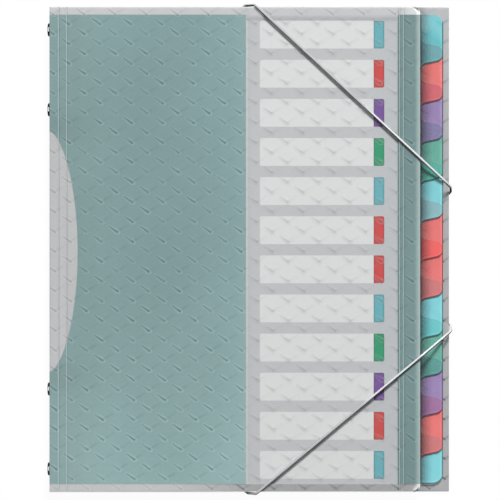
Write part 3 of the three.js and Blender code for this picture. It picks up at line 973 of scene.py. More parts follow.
@dataclass(frozen=True)
class CoverFilm:
    """Embossed film of the covers: frosted clear, and printed on its reverse where a print is given.

    A film without print is the back cover's, with painted shadow beside the front cover's corners.
    """

    name: str
    lie: Lie = Lie.FLAT
    printed: CoverPrint | None = None
    lines: tuple[PressedLine, ...] = ()
    frost: Frost = Frost()
    corners: CornerSheen = CornerSheen()
    clear: Colour = srgb(226, 228, 228)
    # Colour of the painted shade on ticks and furrows where the film is clear.
    shadow: Colour = srgb(52, 54, 56)
    haze: float = 0.015
    shade_haze: float = 0.13
    light_haze: float = 0.055
    furrow_haze: float = 0.3
    furrow_dark: float = 1.4
    # A faint painted highlight along the cut edge, as more haze.
    edge_haze: float = 0.06
    edge_width: float = 1.0 * MM
    clouds: float = 0.05
    # Painted light: the colour grows lighter towards the top.
    top_light: float = 0.0
    top_from: Span = (40 * MM, 153 * MM)
    # Painted shadow of the front cover on the back, beside the front's corners.
    beside_from: Span = (from_spine(241 * MM), from_spine(233.5 * MM))
    beside_ends: Span = (147 * MM, 149 * MM)
    beside_turn: Span = (-1 * MM, 1 * MM)
    beside_shade: Span = (0.25, 0.5)
    roughness: float = 0.35
    gloss_change: float = 0.12
    grain: float = 0.12
    relief: Span = (0.04 * MM, 0.5)

    def material(self) -> bpy.types.Material:
        """The film's material."""
        film = Dressing(self.name, self.lie)
        ticks = film.group(TICKS, Vector=film.plane)
        satin = film.group(SATIN, Vector=film.plane)
        edge = film.cut_edge(self.edge_width)
        # Pressed lines: painted highlight on their ridges and painted shade in their furrows.
        ridge, furrow = self.pressed(film)
        frosted = self.frost.mask(film)
        calm = film.scaled(frosted, -self.frost.calm, 1.0)
        # Painted shade: the ticks and furrows darken the clear film towards the shadow colour.
        marked = film.times(ticks["Shaded"], calm)
        dark = film.scaled(furrow, self.furrow_dark, marked, clamp=True)
        colour = film.mix(dark, film.mix(frosted, self.clear, self.frost.colour), self.shadow)
        alpha = film.scaled(frosted, self.frost.haze, self.haze)
        # The painted shade of ticks and furrows, the ticks' painted highlight and the cut edge's faint
        # painted highlight thicken the haze.
        for mask, haze in (
            (dark, self.shade_haze),
            (ticks["Lit"], self.light_haze),
            (furrow, self.furrow_haze),
            (edge, self.edge_haze),
        ):
            alpha = film.scaled(mask, haze, alpha, clamp=True)
        if self.printed is not None:
            # Painted highlight at the round corners, with painted shadow along their rim.
            sheen, rim = self.corners.masks(film)
            colour = film.mix(sheen, colour, film.mix(rim, WHITE, self.corners.rim))
            alpha = film.scaled(sheen, self.corners.haze, alpha, clamp=True)
            # Painted highlight along the cut edge and on the ridges.
            pale = film.scaled(edge, self.printed.edge_light, ridge, clamp=True)
            inked = self.printed.mask(film, self.lie)
            colour = film.mix(inked, colour, self.printed.ink(film, ticks, satin["Tone"], furrow, pale))
            alpha = film.larger(inked, alpha)
        colour = film.shade(colour, self.tone(film, satin["Tone"]))
        gloss = film.scaled(satin["Gloss"], self.gloss_change, self.roughness)
        film.set(Base_Color=colour, Alpha=alpha, Roughness=gloss, IOR=FILM_IOR)
        film.bump(film.scaled(satin["Height"], self.grain, ticks["Shaded"]), *self.relief)
        return film.material

    def tone(self, film: Dressing, clouds: Socket) -> Socket:
        """Level of the colour: painted lighter to the top and, on the back, painted shadow beside the
        front's corners.

        Args:
            film: The material.
            clouds: The satin film's tone.

        Returns:
            The level's socket.
        """
        tone = film.scaled(clouds, self.clouds, 1.0 - self.clouds / 2)
        tone = film.scaled(film.remap(film.y, *self.top_from), self.top_light, tone)
        if self.printed is not None:
            return tone
        end = film.remap(film.math("ABSOLUTE", film.y), *self.beside_ends)
        beside = film.times(film.remap(film.x, *self.beside_from), end)
        strength = film.remap(film.y, *self.beside_turn, *self.beside_shade)
        return film.less(tone, film.times(beside, strength))

    def pressed(self, film: Dressing) -> tuple[Socket, Socket]:
        """The pressed lines as the sum of their levels, split at none.

        Args:
            film: The material.

        Returns:
            The sockets of the ridges' height, painted as highlight, and of the furrows' depth, painted as
            shade.
        """
        total: Value = 0.0
        for line in self.lines:
            away = film.math("ABSOLUTE", film.less(film.x, line.place))
            total = film.scaled(film.remap(away, line.half_width, 0.0), line.level, total)
        ridge = film.larger(total, 0.0)
        return ridge, film.times(film.math("MINIMUM", total, 0.0), -1.0)


CHIP_COLOURS: dict[Hue, Colour] = {
    Hue.CYAN: srgb(85, 153, 162),
    Hue.RED: srgb(178, 52, 50),
    Hue.PURPLE: srgb(96, 60, 128),
    Hue.GREEN: srgb(0, 130, 89),
}
TAB_COLOURS: dict[Hue, Colour] = {
    Hue.CYAN: srgb(139, 227, 235),
    Hue.RED: srgb(248, 124, 122),
    Hue.PURPLE: srgb(165, 140, 194),
    Hue.GREEN: srgb(104, 187, 168),
}


@dataclass(frozen=True)
class IndexPrint:
    """Print of the index sheet: a grey ground with a white field and a colour chip for each divider."""

    ground: Colour = srgb(176, 178, 180)
    margin: Colour = srgb(174, 177, 179)
    white: Colour = srgb(203, 205, 205)
    seam: Colour = srgb(188, 191, 192)
    field_left: float = from_spine(133.1 * MM)
    chip_left: float = from_spine(205.1 * MM)
    chip_right: float = from_spine(211.8 * MM)
    chip_blur: float = 0.1 * MM
    chip_rim: float = 1.4 * MM
    chip_levels: Span = (1.075, 0.7)
    first_top: float = 144.7 * MM
    pitch: float = 24.75 * MM
    height: float = 17.6 * MM
    corner: float = 1.2 * MM
    margin_from: Span = (from_spine(202.0 * MM), from_spine(211.0 * MM))
    seam_from: Span = (from_spine(125.6 * MM), from_spine(125.2 * MM))
    fibre_stretch: Point = (1.0, 2.5, 1.0)
    fibre_noise: Span = (900.0, 6.0)
    fibre_from: Span = (0.2, 0.8)
    fibre_tone: float = 0.07
    level: float = 0.96
    roughness: Span = (0.62, 0.8)
    relief: Span = (0.02 * MM, 0.4)

    def material(self) -> bpy.types.Material:
        """The printed paper's material: the fields repeat by the remainder of the height over the pitch."""
        paper = Dressing("index_paper")
        fall = paper.less(self.first_top, paper.y)
        within = paper.math("FLOORED_MODULO", fall, self.pitch)
        number = paper.math("FLOOR", paper.math("DIVIDE", fall, self.pitch))
        columns, rows = (self.field_left, self.chip_right), (0.0, self.height)
        label = paper.field(paper.joined(paper.x, within), columns, rows, self.corner)
        last = paper.math("LESS_THAN", number, len(TAB_HUES) - 0.5)
        counted = paper.times(paper.math("GREATER_THAN", number, -0.5), last)
        ground = paper.mix(paper.remap(paper.x, *self.margin_from), self.ground, self.margin)
        ground = paper.mix(paper.remap(paper.x, *self.seam_from), ground, self.seam)
        on_chip = paper.remap(paper.x, self.chip_left - self.chip_blur, self.chip_left + self.chip_blur)
        chip = paper.shade(self.chip_hue(paper, number), self.chip_level(paper, within))
        inside = paper.mix(on_chip, self.white, chip)
        colour = paper.mix(paper.times(label, counted), ground, inside)
        fibres = paper.noise(paper.vector("MULTIPLY", paper.place, self.fibre_stretch), *self.fibre_noise)
        level = paper.scaled(fibres, self.fibre_tone, self.level)
        gloss = paper.remap(fibres, *self.fibre_from, *self.roughness)
        paper.set(Base_Color=paper.shade(colour, level), Roughness=gloss)
        paper.bump(fibres, *self.relief)
        return paper.material

    def chip_hue(self, paper: Dressing, number: Socket) -> Socket:
        """Colour of a chip, from a ramp with an even step for each field.

        Args:
            paper: The material.
            number: Number of the field.

        Returns:
            The colour's socket.
        """
        count = len(TAB_HUES)
        share = paper.math("DIVIDE", paper.math("ADD", number, 0.5), float(count))
        ramp = paper.node("ShaderNodeValToRGB", {0: share})
        ramp.color_ramp.interpolation = "CONSTANT"
        stops = ramp.color_ramp.elements
        for i, hue in enumerate(TAB_HUES):
            stop = stops[i] if i < 1 else stops.new(i / count)
            stop.position = i / count
            stop.color = CHIP_COLOURS[hue]
        stops.remove(stops[-1])
        return ramp.outputs[0]

    def chip_level(self, paper: Dressing, within: Socket) -> Socket:
        """Level of a chip's colour, which falls near the nearest of its four sides.

        Args:
            paper: The material.
            within: Distance below the top of the field.

        Returns:
            The level's socket.
        """
        middle, half_width = (self.chip_left + self.chip_right) / 2, (self.chip_right - self.chip_left) / 2
        beside = paper.math("ABSOLUTE", paper.less(paper.x, middle))
        above = paper.math("ABSOLUTE", paper.less(within, self.height / 2))
        past_x = paper.less(beside, half_width)
        past_y = paper.less(above, self.height / 2)
        return paper.remap(paper.larger(past_x, past_y), -self.chip_rim, 0.0, *self.chip_levels)


@dataclass(frozen=True)
class DividerFilm:
    """Coloured translucent film of a divider: see-through on the tab, with painted shadow along its cut
    edge.

    Where the tab lies over the next one, it is tinted by that one's hue. The tab's root has painted shadow,
    a painted highlight runs inside its cut edge, and the tabs lower down are painted lighter.
    """

    hue: Hue
    next_hue: Hue | None
    tab_left: float
    # A shaded copy of the tab's colour, as painted shade, for the first tab.
    deep: Colour | None = None
    tab_alpha: float = 0.48
    tab_from: Span = (0.0, 1.0 * MM)
    edge_width: float = 1.0 * MM
    # Painted shadow along the tab's lower edge and tip, which face away from the light.
    edge_dark: float = 0.85
    # A painted highlight just inside the cut edge.
    glint_width: float = 2.4 * MM
    glint: float = 0.16
    # Painted shadow of the front cover's fore-edge on the tab's root, with a darker painted line along it.
    root_from: Span = (-0.8 * MM, 0.1 * MM)
    root_reach: Span = (9.0 * MM, -1.5 * MM)
    root_shade: float = 0.85
    root_line_reach: Span = (2.2 * MM, 0.3 * MM)
    root_line: float = 0.14
    through_from: Span = (-0.1 * MM, 0.2 * MM)
    through: float = 0.26
    through_line_reach: Span = (1.3 * MM, 0.5 * MM)
    through_line: float = 0.06
    # Painted light: the tabs lower in the stack, which lie deeper, are lighter.
    low_from: Span = (110 * MM, -110 * MM)
    low_levels: Span = (1.0, 1.14)
    level: float = 0.98
    clouds: float = 0.05
    roughness: float = 0.34
    gloss_change: float = 0.12
    relief: Span = (0.02 * MM, 0.3)

    def material(self) -> bpy.types.Material:
        """The divider's material."""
        below = self.next_hue.value if self.next_hue else "none"
        film = Dressing(f"divider_{'deep_' if self.deep else ''}{self.hue.value}_over_{below}")
        satin = film.group(SATIN, Vector=film.place)
        edge = film.cut_edge(self.edge_width)
        beyond = film.less(film.x, self.tab_left)
        # Painted shadow of the front cover at the tab's root.
        level = film.less(self.level, self.root(film, beyond))
        level = film.scaled(satin["Tone"], self.clouds, level)
        # Painted highlight inside the cut edge.
        level = film.scaled(film.cut_edge(self.glint_width), self.glint, level)
        # Painted shadow along the cut edge.
        level = film.times(level, film.scaled(edge, -self.edge_dark, 1.0))
        # Painted light, lighter lower in the stack.
        level = film.times(level, film.remap(film.y, *self.low_from, *self.low_levels))
        # A shaded copy of the colour, where given, is painted shade.
        colour = film.shade(self.deep or TAB_COLOURS[self.hue], level)
        if self.next_hue is not None:
            colour = film.tint(colour, self.seen_through(film))
        clear = film.times(film.remap(beyond, *self.tab_from), 1.0 - self.tab_alpha)
        alpha = film.less(1.0, film.times(clear, film.less(1.0, edge)))
        gloss = film.scaled(satin["Gloss"], self.gloss_change, self.roughness)
        film.set(Base_Color=colour, Alpha=alpha, Roughness=gloss, IOR=FILM_IOR)
        film.bump(satin["Height"], *self.relief)
        return film.material

    def root(self, film: Dressing, beyond: Socket) -> Socket:
        """Painted shadow of the front cover at the tab's root, with a darker painted line along it, on the
        tab alone.

        Args:
            film: The material.
            beyond: Distance beyond the leaf's fore-edge.

        Returns:
            The painted shadow's socket.
        """
        shade = film.times(film.remap(beyond, *self.root_reach), self.root_shade)
        shade = film.scaled(film.remap(beyond, *self.root_line_reach), self.root_line, shade)
        return film.times(shade, film.remap(beyond, *self.root_from))

    def seen_through(self, film: Dressing) -> Socket:
        """Tint of the tab below: a share of its hue, darker along its cut edge, and white beside it.

        Args:
            film: The material.

        Returns:
            The tint's socket.
        """
        depth = film.attribute("overlap")
        over = film.remap(depth, *self.through_from)
        tint = film.mix(film.times(over, self.through), FULL_WHITE, TAB_COLOURS[self.next_hue])
        line = film.times(over, film.remap(depth, *self.through_line_reach))
        return film.shade(tint, film.scaled(line, -self.through_line, 1.0))


@dataclass(frozen=True)
class PleatFilm:
    """Plain pale film of the gusset, whitened along its folds."""

    colour: Colour = srgb(202, 204, 206)
    fold: Colour = srgb(226, 227, 228)
    fold_width: float = 0.6 * MM
    fold_share: float = 0.7
    level: float = 0.95
    clouds: float = 0.08
    roughness: float = 0.42
    gloss_change: float = 0.12
    relief: Span = (0.02 * MM, 0.4)

    def material(self) -> bpy.types.Material:
        """The gusset's material."""
        film = Dressing("pleat_film")
        satin = film.group(SATIN, Vector=film.plane)
        folds = film.times(film.cut_edge(self.fold_width, "fold"), self.fold_share)
        level = film.scaled(satin["Tone"], self.clouds, self.level)
        gloss = film.scaled(satin["Gloss"], self.gloss_change, self.roughness)
        film.set(Base_Color=film.shade(film.mix(folds, self.colour, self.fold), level), Roughness=gloss)
        film.bump(satin["Height"], *self.relief)
        return film.material


@dataclass(frozen=True)
class PlainSteel:
    """Plated steel of the washers and barbs, with faint drawn lines and dull spots."""

    name: str
    roughness: float
    colour: Colour = srgb(186, 188, 190)
    lines: float = 0.2
    line_stretch: Point = (1.0, 1.0, 9.0)
    line_noise: Span = (1500.0, 3.0)
    spot_noise: Span = (700.0, 4.0)
    spot_from: Span = (0.55, 0.75)
    spot_dark: float = 0.12
    depth: float = 0.01 * MM

    def material(self) -> bpy.types.Material:
        """The metal's material."""
        metal = Dressing(self.name)
        drawn = metal.noise(metal.vector("MULTIPLY", metal.place, self.line_stretch), *self.line_noise)
        spots = metal.remap(metal.noise(metal.place, *self.spot_noise), *self.spot_from)
        level = metal.scaled(spots, -self.spot_dark, 1.0)
        gloss = metal.scaled(drawn, self.lines, self.roughness)
        metal.set(Base_Color=metal.shade(self.colour, level), Metallic=1.0, Roughness=gloss)
        metal.bump(drawn, self.depth, self.lines)
        return metal.material


@dataclass(frozen=True)
class RivetPlate:
    """Rivet of dark nickel with a painted bow-tie reflection on its dome: bright across the middle, dark
    above and below.
    """

    # The painted reflection's bright and dark colours.
    bright: Colour = srgb(208, 209, 210)
    dark: Colour = srgb(24, 25, 27)
    rim_tint: Colour = srgb(60, 60, 62)
    sheen_middle: float = 0.06
    sheen_to: Span = (0.24, 0.41)
    haze_noise: Span = (900.0, 4.0)
    haze_from: Span = (0.3, 0.8)
    haze: float = 0.16
    level: float = 0.9
    roughness: Span = (0.2, 0.34)
    relief: Span = (0.01 * MM, 0.1)

    def material(self) -> bpy.types.Material:
        """The rivet's material, whose painted reflection goes from bright to dark by the angle round its
        axis.
        """
        metal = Dressing("rivet_plate")
        haze = metal.noise(metal.place, *self.haze_noise)
        # Painted reflection, by the angle from the sheen's middle.
        aside = metal.math("ABSOLUTE", metal.less(metal.attribute("side"), self.sheen_middle))
        colour = metal.mix(metal.remap(aside, *self.sheen_to), self.bright, self.dark)
        colour = metal.shade(colour, metal.scaled(haze, self.haze, self.level))
        gloss = metal.remap(haze, *self.haze_from, *self.roughness)
        metal.set(Base_Color=colour, Metallic=1.0, Roughness=gloss, Specular_Tint=self.rim_tint)
        metal.bump(haze, *self.relief)
        return metal.material


@dataclass(frozen=True)
class BraidedCord:
    """Silvery braided elastic: two sets of strands wound across each other, with painted shade in the gaps
    and on a flank.

    Beyond the index sheet its lit side is painted brighter and the flank's painted shade wider. The flank is
    a share of a turn.
    """

    strands: int
    colour: Colour = srgb(228, 229, 230)
    # Colour of the painted shade in the gaps between strands.
    gap: Colour = srgb(176, 178, 181)
    gap_from: Span = (-0.4, 0.7)
    fuzz_noise: Span = (5000.0, 3.0)
    fuzz: float = 0.1
    # Painted shade on the flank at this share of a turn.
    flank: float = 0.75
    flank_reach: Span = (0.11, 0.19)
    flank_levels: Span = (0.04, 0.94)
    # Painted light: beyond the index sheet the lit side is brighter and the flank's painted shade wider.
    beyond_sheet: Span = (from_spine(206 * MM), from_spine(197 * MM))
    spreads: Span = (1.3, 1.0)
    lights: Span = (1.0, 0.64)
    rough_from: Span = (-0.5, 1.0)
    roughness: Span = (0.6, 0.34)
    shine_from: Span = (0.0, 1.0)
    shine: Span = (0.3, 1.0)
    relief: Span = (0.03 * MM, 0.6)

    def material(self) -> bpy.types.Material:
        """The cord's material: the strands are the sines of the turn plus and minus the length, in UV."""
        cord = Dressing("elastic_braid")
        turn, length, _ = cord.parts(cord.uv)
        round_phase = cord.times(turn, 2 * np.pi * self.strands)
        long_phase = cord.times(length, 2 * np.pi)
        first = cord.math("SINE", cord.math("ADD", round_phase, long_phase))
        second = cord.math("SINE", cord.less(round_phase, long_phase))
        crown = cord.larger(first, second)
        fuzz = cord.noise(cord.place, *self.fuzz_noise)
        spread = cord.remap(cord.x, *self.beyond_sheet, *self.spreads)
        # Painted shade on the flank, and painted light that is dimmer over the index sheet.
        aside = cord.math("ABSOLUTE", cord.less(turn, self.flank))
        lit = cord.remap(cord.math("DIVIDE", aside, spread), *self.flank_reach, *self.flank_levels)
        lit = cord.times(lit, cord.remap(cord.x, *self.beyond_sheet, *self.lights))
        level = cord.times(lit, cord.scaled(fuzz, self.fuzz, 1.0))
        # Painted shade in the gaps between strands.
        colour = cord.shade(cord.mix(cord.remap(crown, *self.gap_from), self.gap, self.colour), level)
        cord.set(Base_Color=colour, Roughness=cord.remap(crown, *self.rough_from, *self.roughness))
        shine = cord.times(cord.remap(crown, *self.shine_from, *self.shine), lit)
        cord.set(Coat_Weight=shine, Coat_Roughness=0.22, Coat_IOR=2.0, Specular_IOR_Level=0.0)
        cord.bump(cord.math("ADD", crown, fuzz), *self.relief)
        return cord.material


# Sub-assemblies


def dress(piece: bpy.types.Object, material: bpy.types.Material) -> bpy.types.Object:
    """Gives a piece its one material.

    Args:
        piece: The piece's object.
        material: Its material.

    Returns:
        The same object.
    """
    piece.data.materials.clear()
    piece.data.materials.append(material)
    LOG.info("%s: %d faces", piece.name, len(piece.data.polygons))
    return piece


def stand_in(
    surface: Surface, node: str, suffix: str, body: str, material: bpy.types.Material
) -> bpy.types.Object:
    """Makes a dressed piece in place of a node, and lets it ride on a body.

    Args:
        surface: The piece's points and faces.
        node: The node that it replaces.
        suffix: What the piece's name has after the node's.
        body: The body that it moves with.
        material: Its one material.

    Returns:
        The piece.
    """
    piece = dress(surface.make(f"{node}_{suffix}"), material)
    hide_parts(node)
    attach(piece, body)
    return piece


@dataclass
class Covers:
    """The creased cover: back, spine, lip, link and front, with a thin film across each crease."""

    step: float = 0.95 * MM
    fine_step: float = 0.2 * MM
    edge_step: float = 0.3 * MM
    arc_steps: int = 14
    corner: float = 4.5 * MM
    back_corner: float = 0.8 * MM
    edge_drop: float = 0.18 * MM
    edge_reach: float = 1.5 * MM
    crease_drop: float = 0.26 * MM
    crease_reach: float = 0.6 * MM
    rib_from_edge: float = 12.0 * MM
    rib_room: float = 2.2 * MM
    rib_offset: float = 1.35 * MM
    rib_half_width: float = 0.55 * MM
    rib_depth: float = 0.2 * MM
    rib_end_margin: float = 1.0 * MM
    film: float = 0.24 * MM
    film_grip: float = 0.35 * MM
    film_steps: int = 7
    back_grey: Colour = srgb(166, 167, 169)
    back_haze: float = 0.7
    # Painted light: the back grows lighter towards its top.
    back_light: float = 0.2

    def build(self) -> None:
        """Makes the five panels and the films at their creases."""
        printed = CoverFilm("printed_film", printed=CoverPrint(), lines=self.pressed()).material()
        edgewise = CoverFilm("printed_film_spine", lie=Lie.ON_EDGE, printed=CoverPrint()).material()
        clear = CoverFilm(
            "clear_film",
            clear=self.back_grey,
            frost=Frost(colour=self.back_grey, haze=0.0),
            haze=self.back_haze,
            top_light=self.back_light,
        ).material()
        for node, body in (("front_cover", "front"), ("front_lip", "spine"), ("front_link", "front")):
            stand_in(self.flat_panel(node), node, "film", body, printed)
        stand_in(self.spine_panel(), "spine_panel", "film", "spine", edgewise)
        stand_in(self.flat_panel("back_cover"), "back_cover", "film", "back", clear)
        self.crease_films(printed, edgewise)

    def pressed(self) -> tuple[PressedLine, ...]:
        """Lines pressed into the front: a light and a dark one at each crease, those of the rib, and one
        along the fore-edge.
        """
        # Light lines are painted highlight, at the creases also on film whitened by folding, and dark ones
        # are painted shade. The last is a broad painted highlight along the fore-edge.
        measured = (
            (5.6, 0.45, 0.42),
            (6.3, 0.45, -0.12),
            (10.8, 0.45, 0.42),
            (11.4, 0.45, -0.12),
            (220.8, 0.45, -0.26),
            (221.45, 0.45, 0.4),
            (222.1, 0.42, -0.2),
            (223.95, 0.5, 0.32),
            (224.75, 0.5, -0.2),
            (233.9, 3.4, 0.3),
        )
        return tuple(PressedLine(from_spine(x * MM), half * MM, level) for x, half, level in measured)

    def flat_panel(self, node: str) -> Surface:
        """A panel lying flat: rows across its height follow the outline, drawn in by arcs at round corners.

        Args:
            node: The panel's node, whose box it fills.

        Returns:
            The panel with its ticks, its eased edges and, on the front, its pressed rib.
        """
        low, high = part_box(node)
        front, back = node == "front_cover", node == "back_cover"
        radius = self.corner if front else self.back_corner
        bend = high.x - radius if front or back else high.x
        start, end = low.x + self.crease_reach, high.x - self.crease_reach
        stretches = [(low.x, start, self.fine_step)]
        if front:
            rib = high.x - self.rib_from_edge
            rib_start, rib_end = rib - self.rib_room, rib + self.rib_room
            stretches += [(start, rib_start, self.step), (rib_start, rib_end, self.fine_step)]
            stretches += [(rib_end, bend, self.step)]
        elif back:
            stretches += [(start, bend, self.step)]
        else:
            stretches += [(start, end, self.step / 2), (end, high.x, self.fine_step)]
        columns = stations(*stretches)
        half = np.full(columns.shape, high.y)
        if front or back:
            columns, half = rounded_end(columns, (high.x, high.y), radius, self.arc_steps)
        inner = high.y - self.edge_reach
        rows = stations(
            (-high.y, -inner, self.edge_step),
            (-inner, inner, self.step),
            (inner, high.y, self.edge_step),
        )
        u = np.repeat(columns[:, None], len(rows), axis=1)
        v = (rows / high.y)[None] * half[:, None]
        edge = self.outline_distance(u, v, bend, radius, high)
        crease = u - low.x if front or back else np.minimum(u - low.x, high.x - u)
        top = high.z - self.eased(edge, self.edge_drop, self.edge_reach)
        top -= self.eased(crease, self.crease_drop, self.crease_reach)
        fade = np.clip(np.minimum(edge, crease) / self.edge_reach, 0, 1)
        top += EMBOSS.relief(u, v) * fade
        if front:
            top -= self.rib(u, v, high)
        return relief_slab(u, v, top, low.z, edge)

    def outline_distance(self, u: Array, v: Array, bend: float, radius: float, high: Vector) -> Array:
        """Distance inside the outer edges: to the nearest straight edge, or to the arc past its ends.

        Args:
            u: Places along the panel.
            v: Places across it.
            bend: Where the corners' arcs start along X.
            radius: The corners' radius.
            high: Highest corner of the node.

        Returns:
            The distance of each place.
        """
        beside, above = u - bend, np.abs(v) - (high.y - radius)
        straight = high.y - np.abs(v)
        if bend < high.x:
            straight = np.minimum(straight, high.x - u)
        round_off = radius - np.hypot(beside, above)
        return np.where((beside > 0) & (above > 0), round_off, straight)

    def eased(self, distance: Array, drop: float, reach: float) -> Array:
        """Drop of an eased edge: the square of what is left of the reach."""
        return drop * np.clip(1 - distance / reach, 0, 1) ** 2

    def rib(self, u: Array, v: Array, high: Vector) -> Array:
        """Depth of the pressed rib: a groove at a fixed distance from a line along the fore-edge.

        Args:
            u: Places along the panel.
            v: Places across it.
            high: Highest corner of the node.

        Returns:
            The depth at each place.
        """
        middle = high.x - self.rib_from_edge
        end = high.y - self.rib_end_margin - self.rib_offset - self.rib_half_width
        away = np.hypot(u - middle, np.abs(v) - np.clip(np.abs(v), 0, end))
        across = np.clip(np.abs(away - self.rib_offset) / self.rib_half_width, 0, 1)
        return self.rib_depth * (0.5 + 0.5 * np.cos(np.pi * across))

    def spine_panel(self) -> Surface:
        """The spine: a slab along Z and Y with ticks on its outer face, stood on edge."""
        low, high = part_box("spine_panel")
        rows = stations((-high.y, high.y, self.step))
        columns = stations((low.z, high.z, self.step / 2))
        u, v = np.meshgrid(columns, rows, indexing="ij")
        edge = np.minimum(high.y - np.abs(v), self.edge_reach)
        fold = np.minimum(u - low.z, high.z - u)
        top = -low.x - self.eased(fold, self.crease_drop / 2, self.crease_reach)
        fade = np.clip(np.minimum(edge, fold) / self.edge_reach, 0, 1)
        top += EMBOSS.relief(u, v) * fade
        return relief_slab(u, v, top, -high.x, edge).stood_on_edge()

    def crease_films(self, flat: bpy.types.Material, edgewise: bpy.types.Material) -> None:
        """The thin film left at each crease, bending between the two panels that it joins.

        Args:
            flat: Material of the films that lie flat.
            edgewise: Material of those at the spine's edges.
        """
        back_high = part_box("back_cover")[1]
        spine_low, spine_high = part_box("spine_panel")
        lip_low, lip_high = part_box("front_lip")
        link_low, link_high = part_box("front_link")
        cover_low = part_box("front_cover")[0]
        wall = spine_low.x + self.film / 2
        level = lip_low.z + self.film
        for name, bodies, material, start, end in (
            ("back", ("back", "spine"), edgewise, (wall, back_high.z), (wall, spine_low.z)),
            ("lip", ("spine",), edgewise, (wall, spine_high.z), (wall, lip_low.z)),
            ("link", ("spine", "front"), flat, (lip_high.x, level), (link_low.x, level)),
            ("front", ("front",), flat, (link_high.x, level), (cover_low.x, level)),
        ):
            film = self.film_strip(np.array(start), np.array(end), back_high.y)
            piece = dress(film.make(f"{name}_crease_film"), material)
            if len(bodies) == 2:
                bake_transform(piece, *bodies, (start[0], 0, start[1]), (end[0], 0, end[1]))
            else:
                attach(piece, *bodies)

    def film_strip(self, start: Array, end: Array, half: float) -> Surface:
        """A flat strip along Y: its cross-section grips both sides of a crease, with the film's thickness.

        Args:
            start: X and Z at one side of the crease.
            end: X and Z at the other side.
            half: Half of its length along Y.

        Returns:
            The closed strip.
        """
        ahead = (end - start) / np.hypot(*(end - start))
        share = np.linspace(0, 1, self.film_steps)[:, None]
        line = (start - self.film_grip * ahead) * (1 - share) + (end + self.film_grip * ahead) * share
        square = np.array([-ahead[1], ahead[0]]) * self.film / 2
        loop = np.concatenate([line + square, line[::-1] - square])
        points = np.stack([np.insert(loop, 1, side, axis=1) for side in (-half, half)], 1)
        index = np.arange(2 * len(loop)).reshape(-1, 2)
        closed = np.concatenate([index, index[:1]])
        return Surface(
            points=points.reshape(-1, 3),
            faces=[grid_quads(closed), index[:, 1][None], index[::-1, 0][None]],
            smooth=[False, False, False],
            attributes={"edge": np.full(index.size, self.edge_reach)},
        )


@dataclass
class IndexSheet:
    """The first leaf: a printed paper sheet with round fore-edge corners."""

    node: str = "index_sheet"
    corner: float = 3.0 * MM
    arc_steps: int = 10
    step: float = 6.0 * MM

    def build(self) -> None:
        """Makes the sheet in place of its node."""
        low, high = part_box(self.node)
        columns = stations((low.x, high.x - self.corner, self.step))
        columns, half = rounded_end(columns, (high.x, high.y), self.corner, self.arc_steps)
        rows = stations((-1.0, 1.0, self.step / high.y))
        u = np.repeat(columns[:, None], len(rows), axis=1)
        v = rows[None] * half[:, None]
        top, edge = np.full(u.shape, high.z), np.full(u.shape, self.corner)
        sheet = relief_slab(u, v, top, low.z, edge, smooth=False)
        stand_in(sheet, self.node, "paper", "leaf_index", IndexPrint().material())


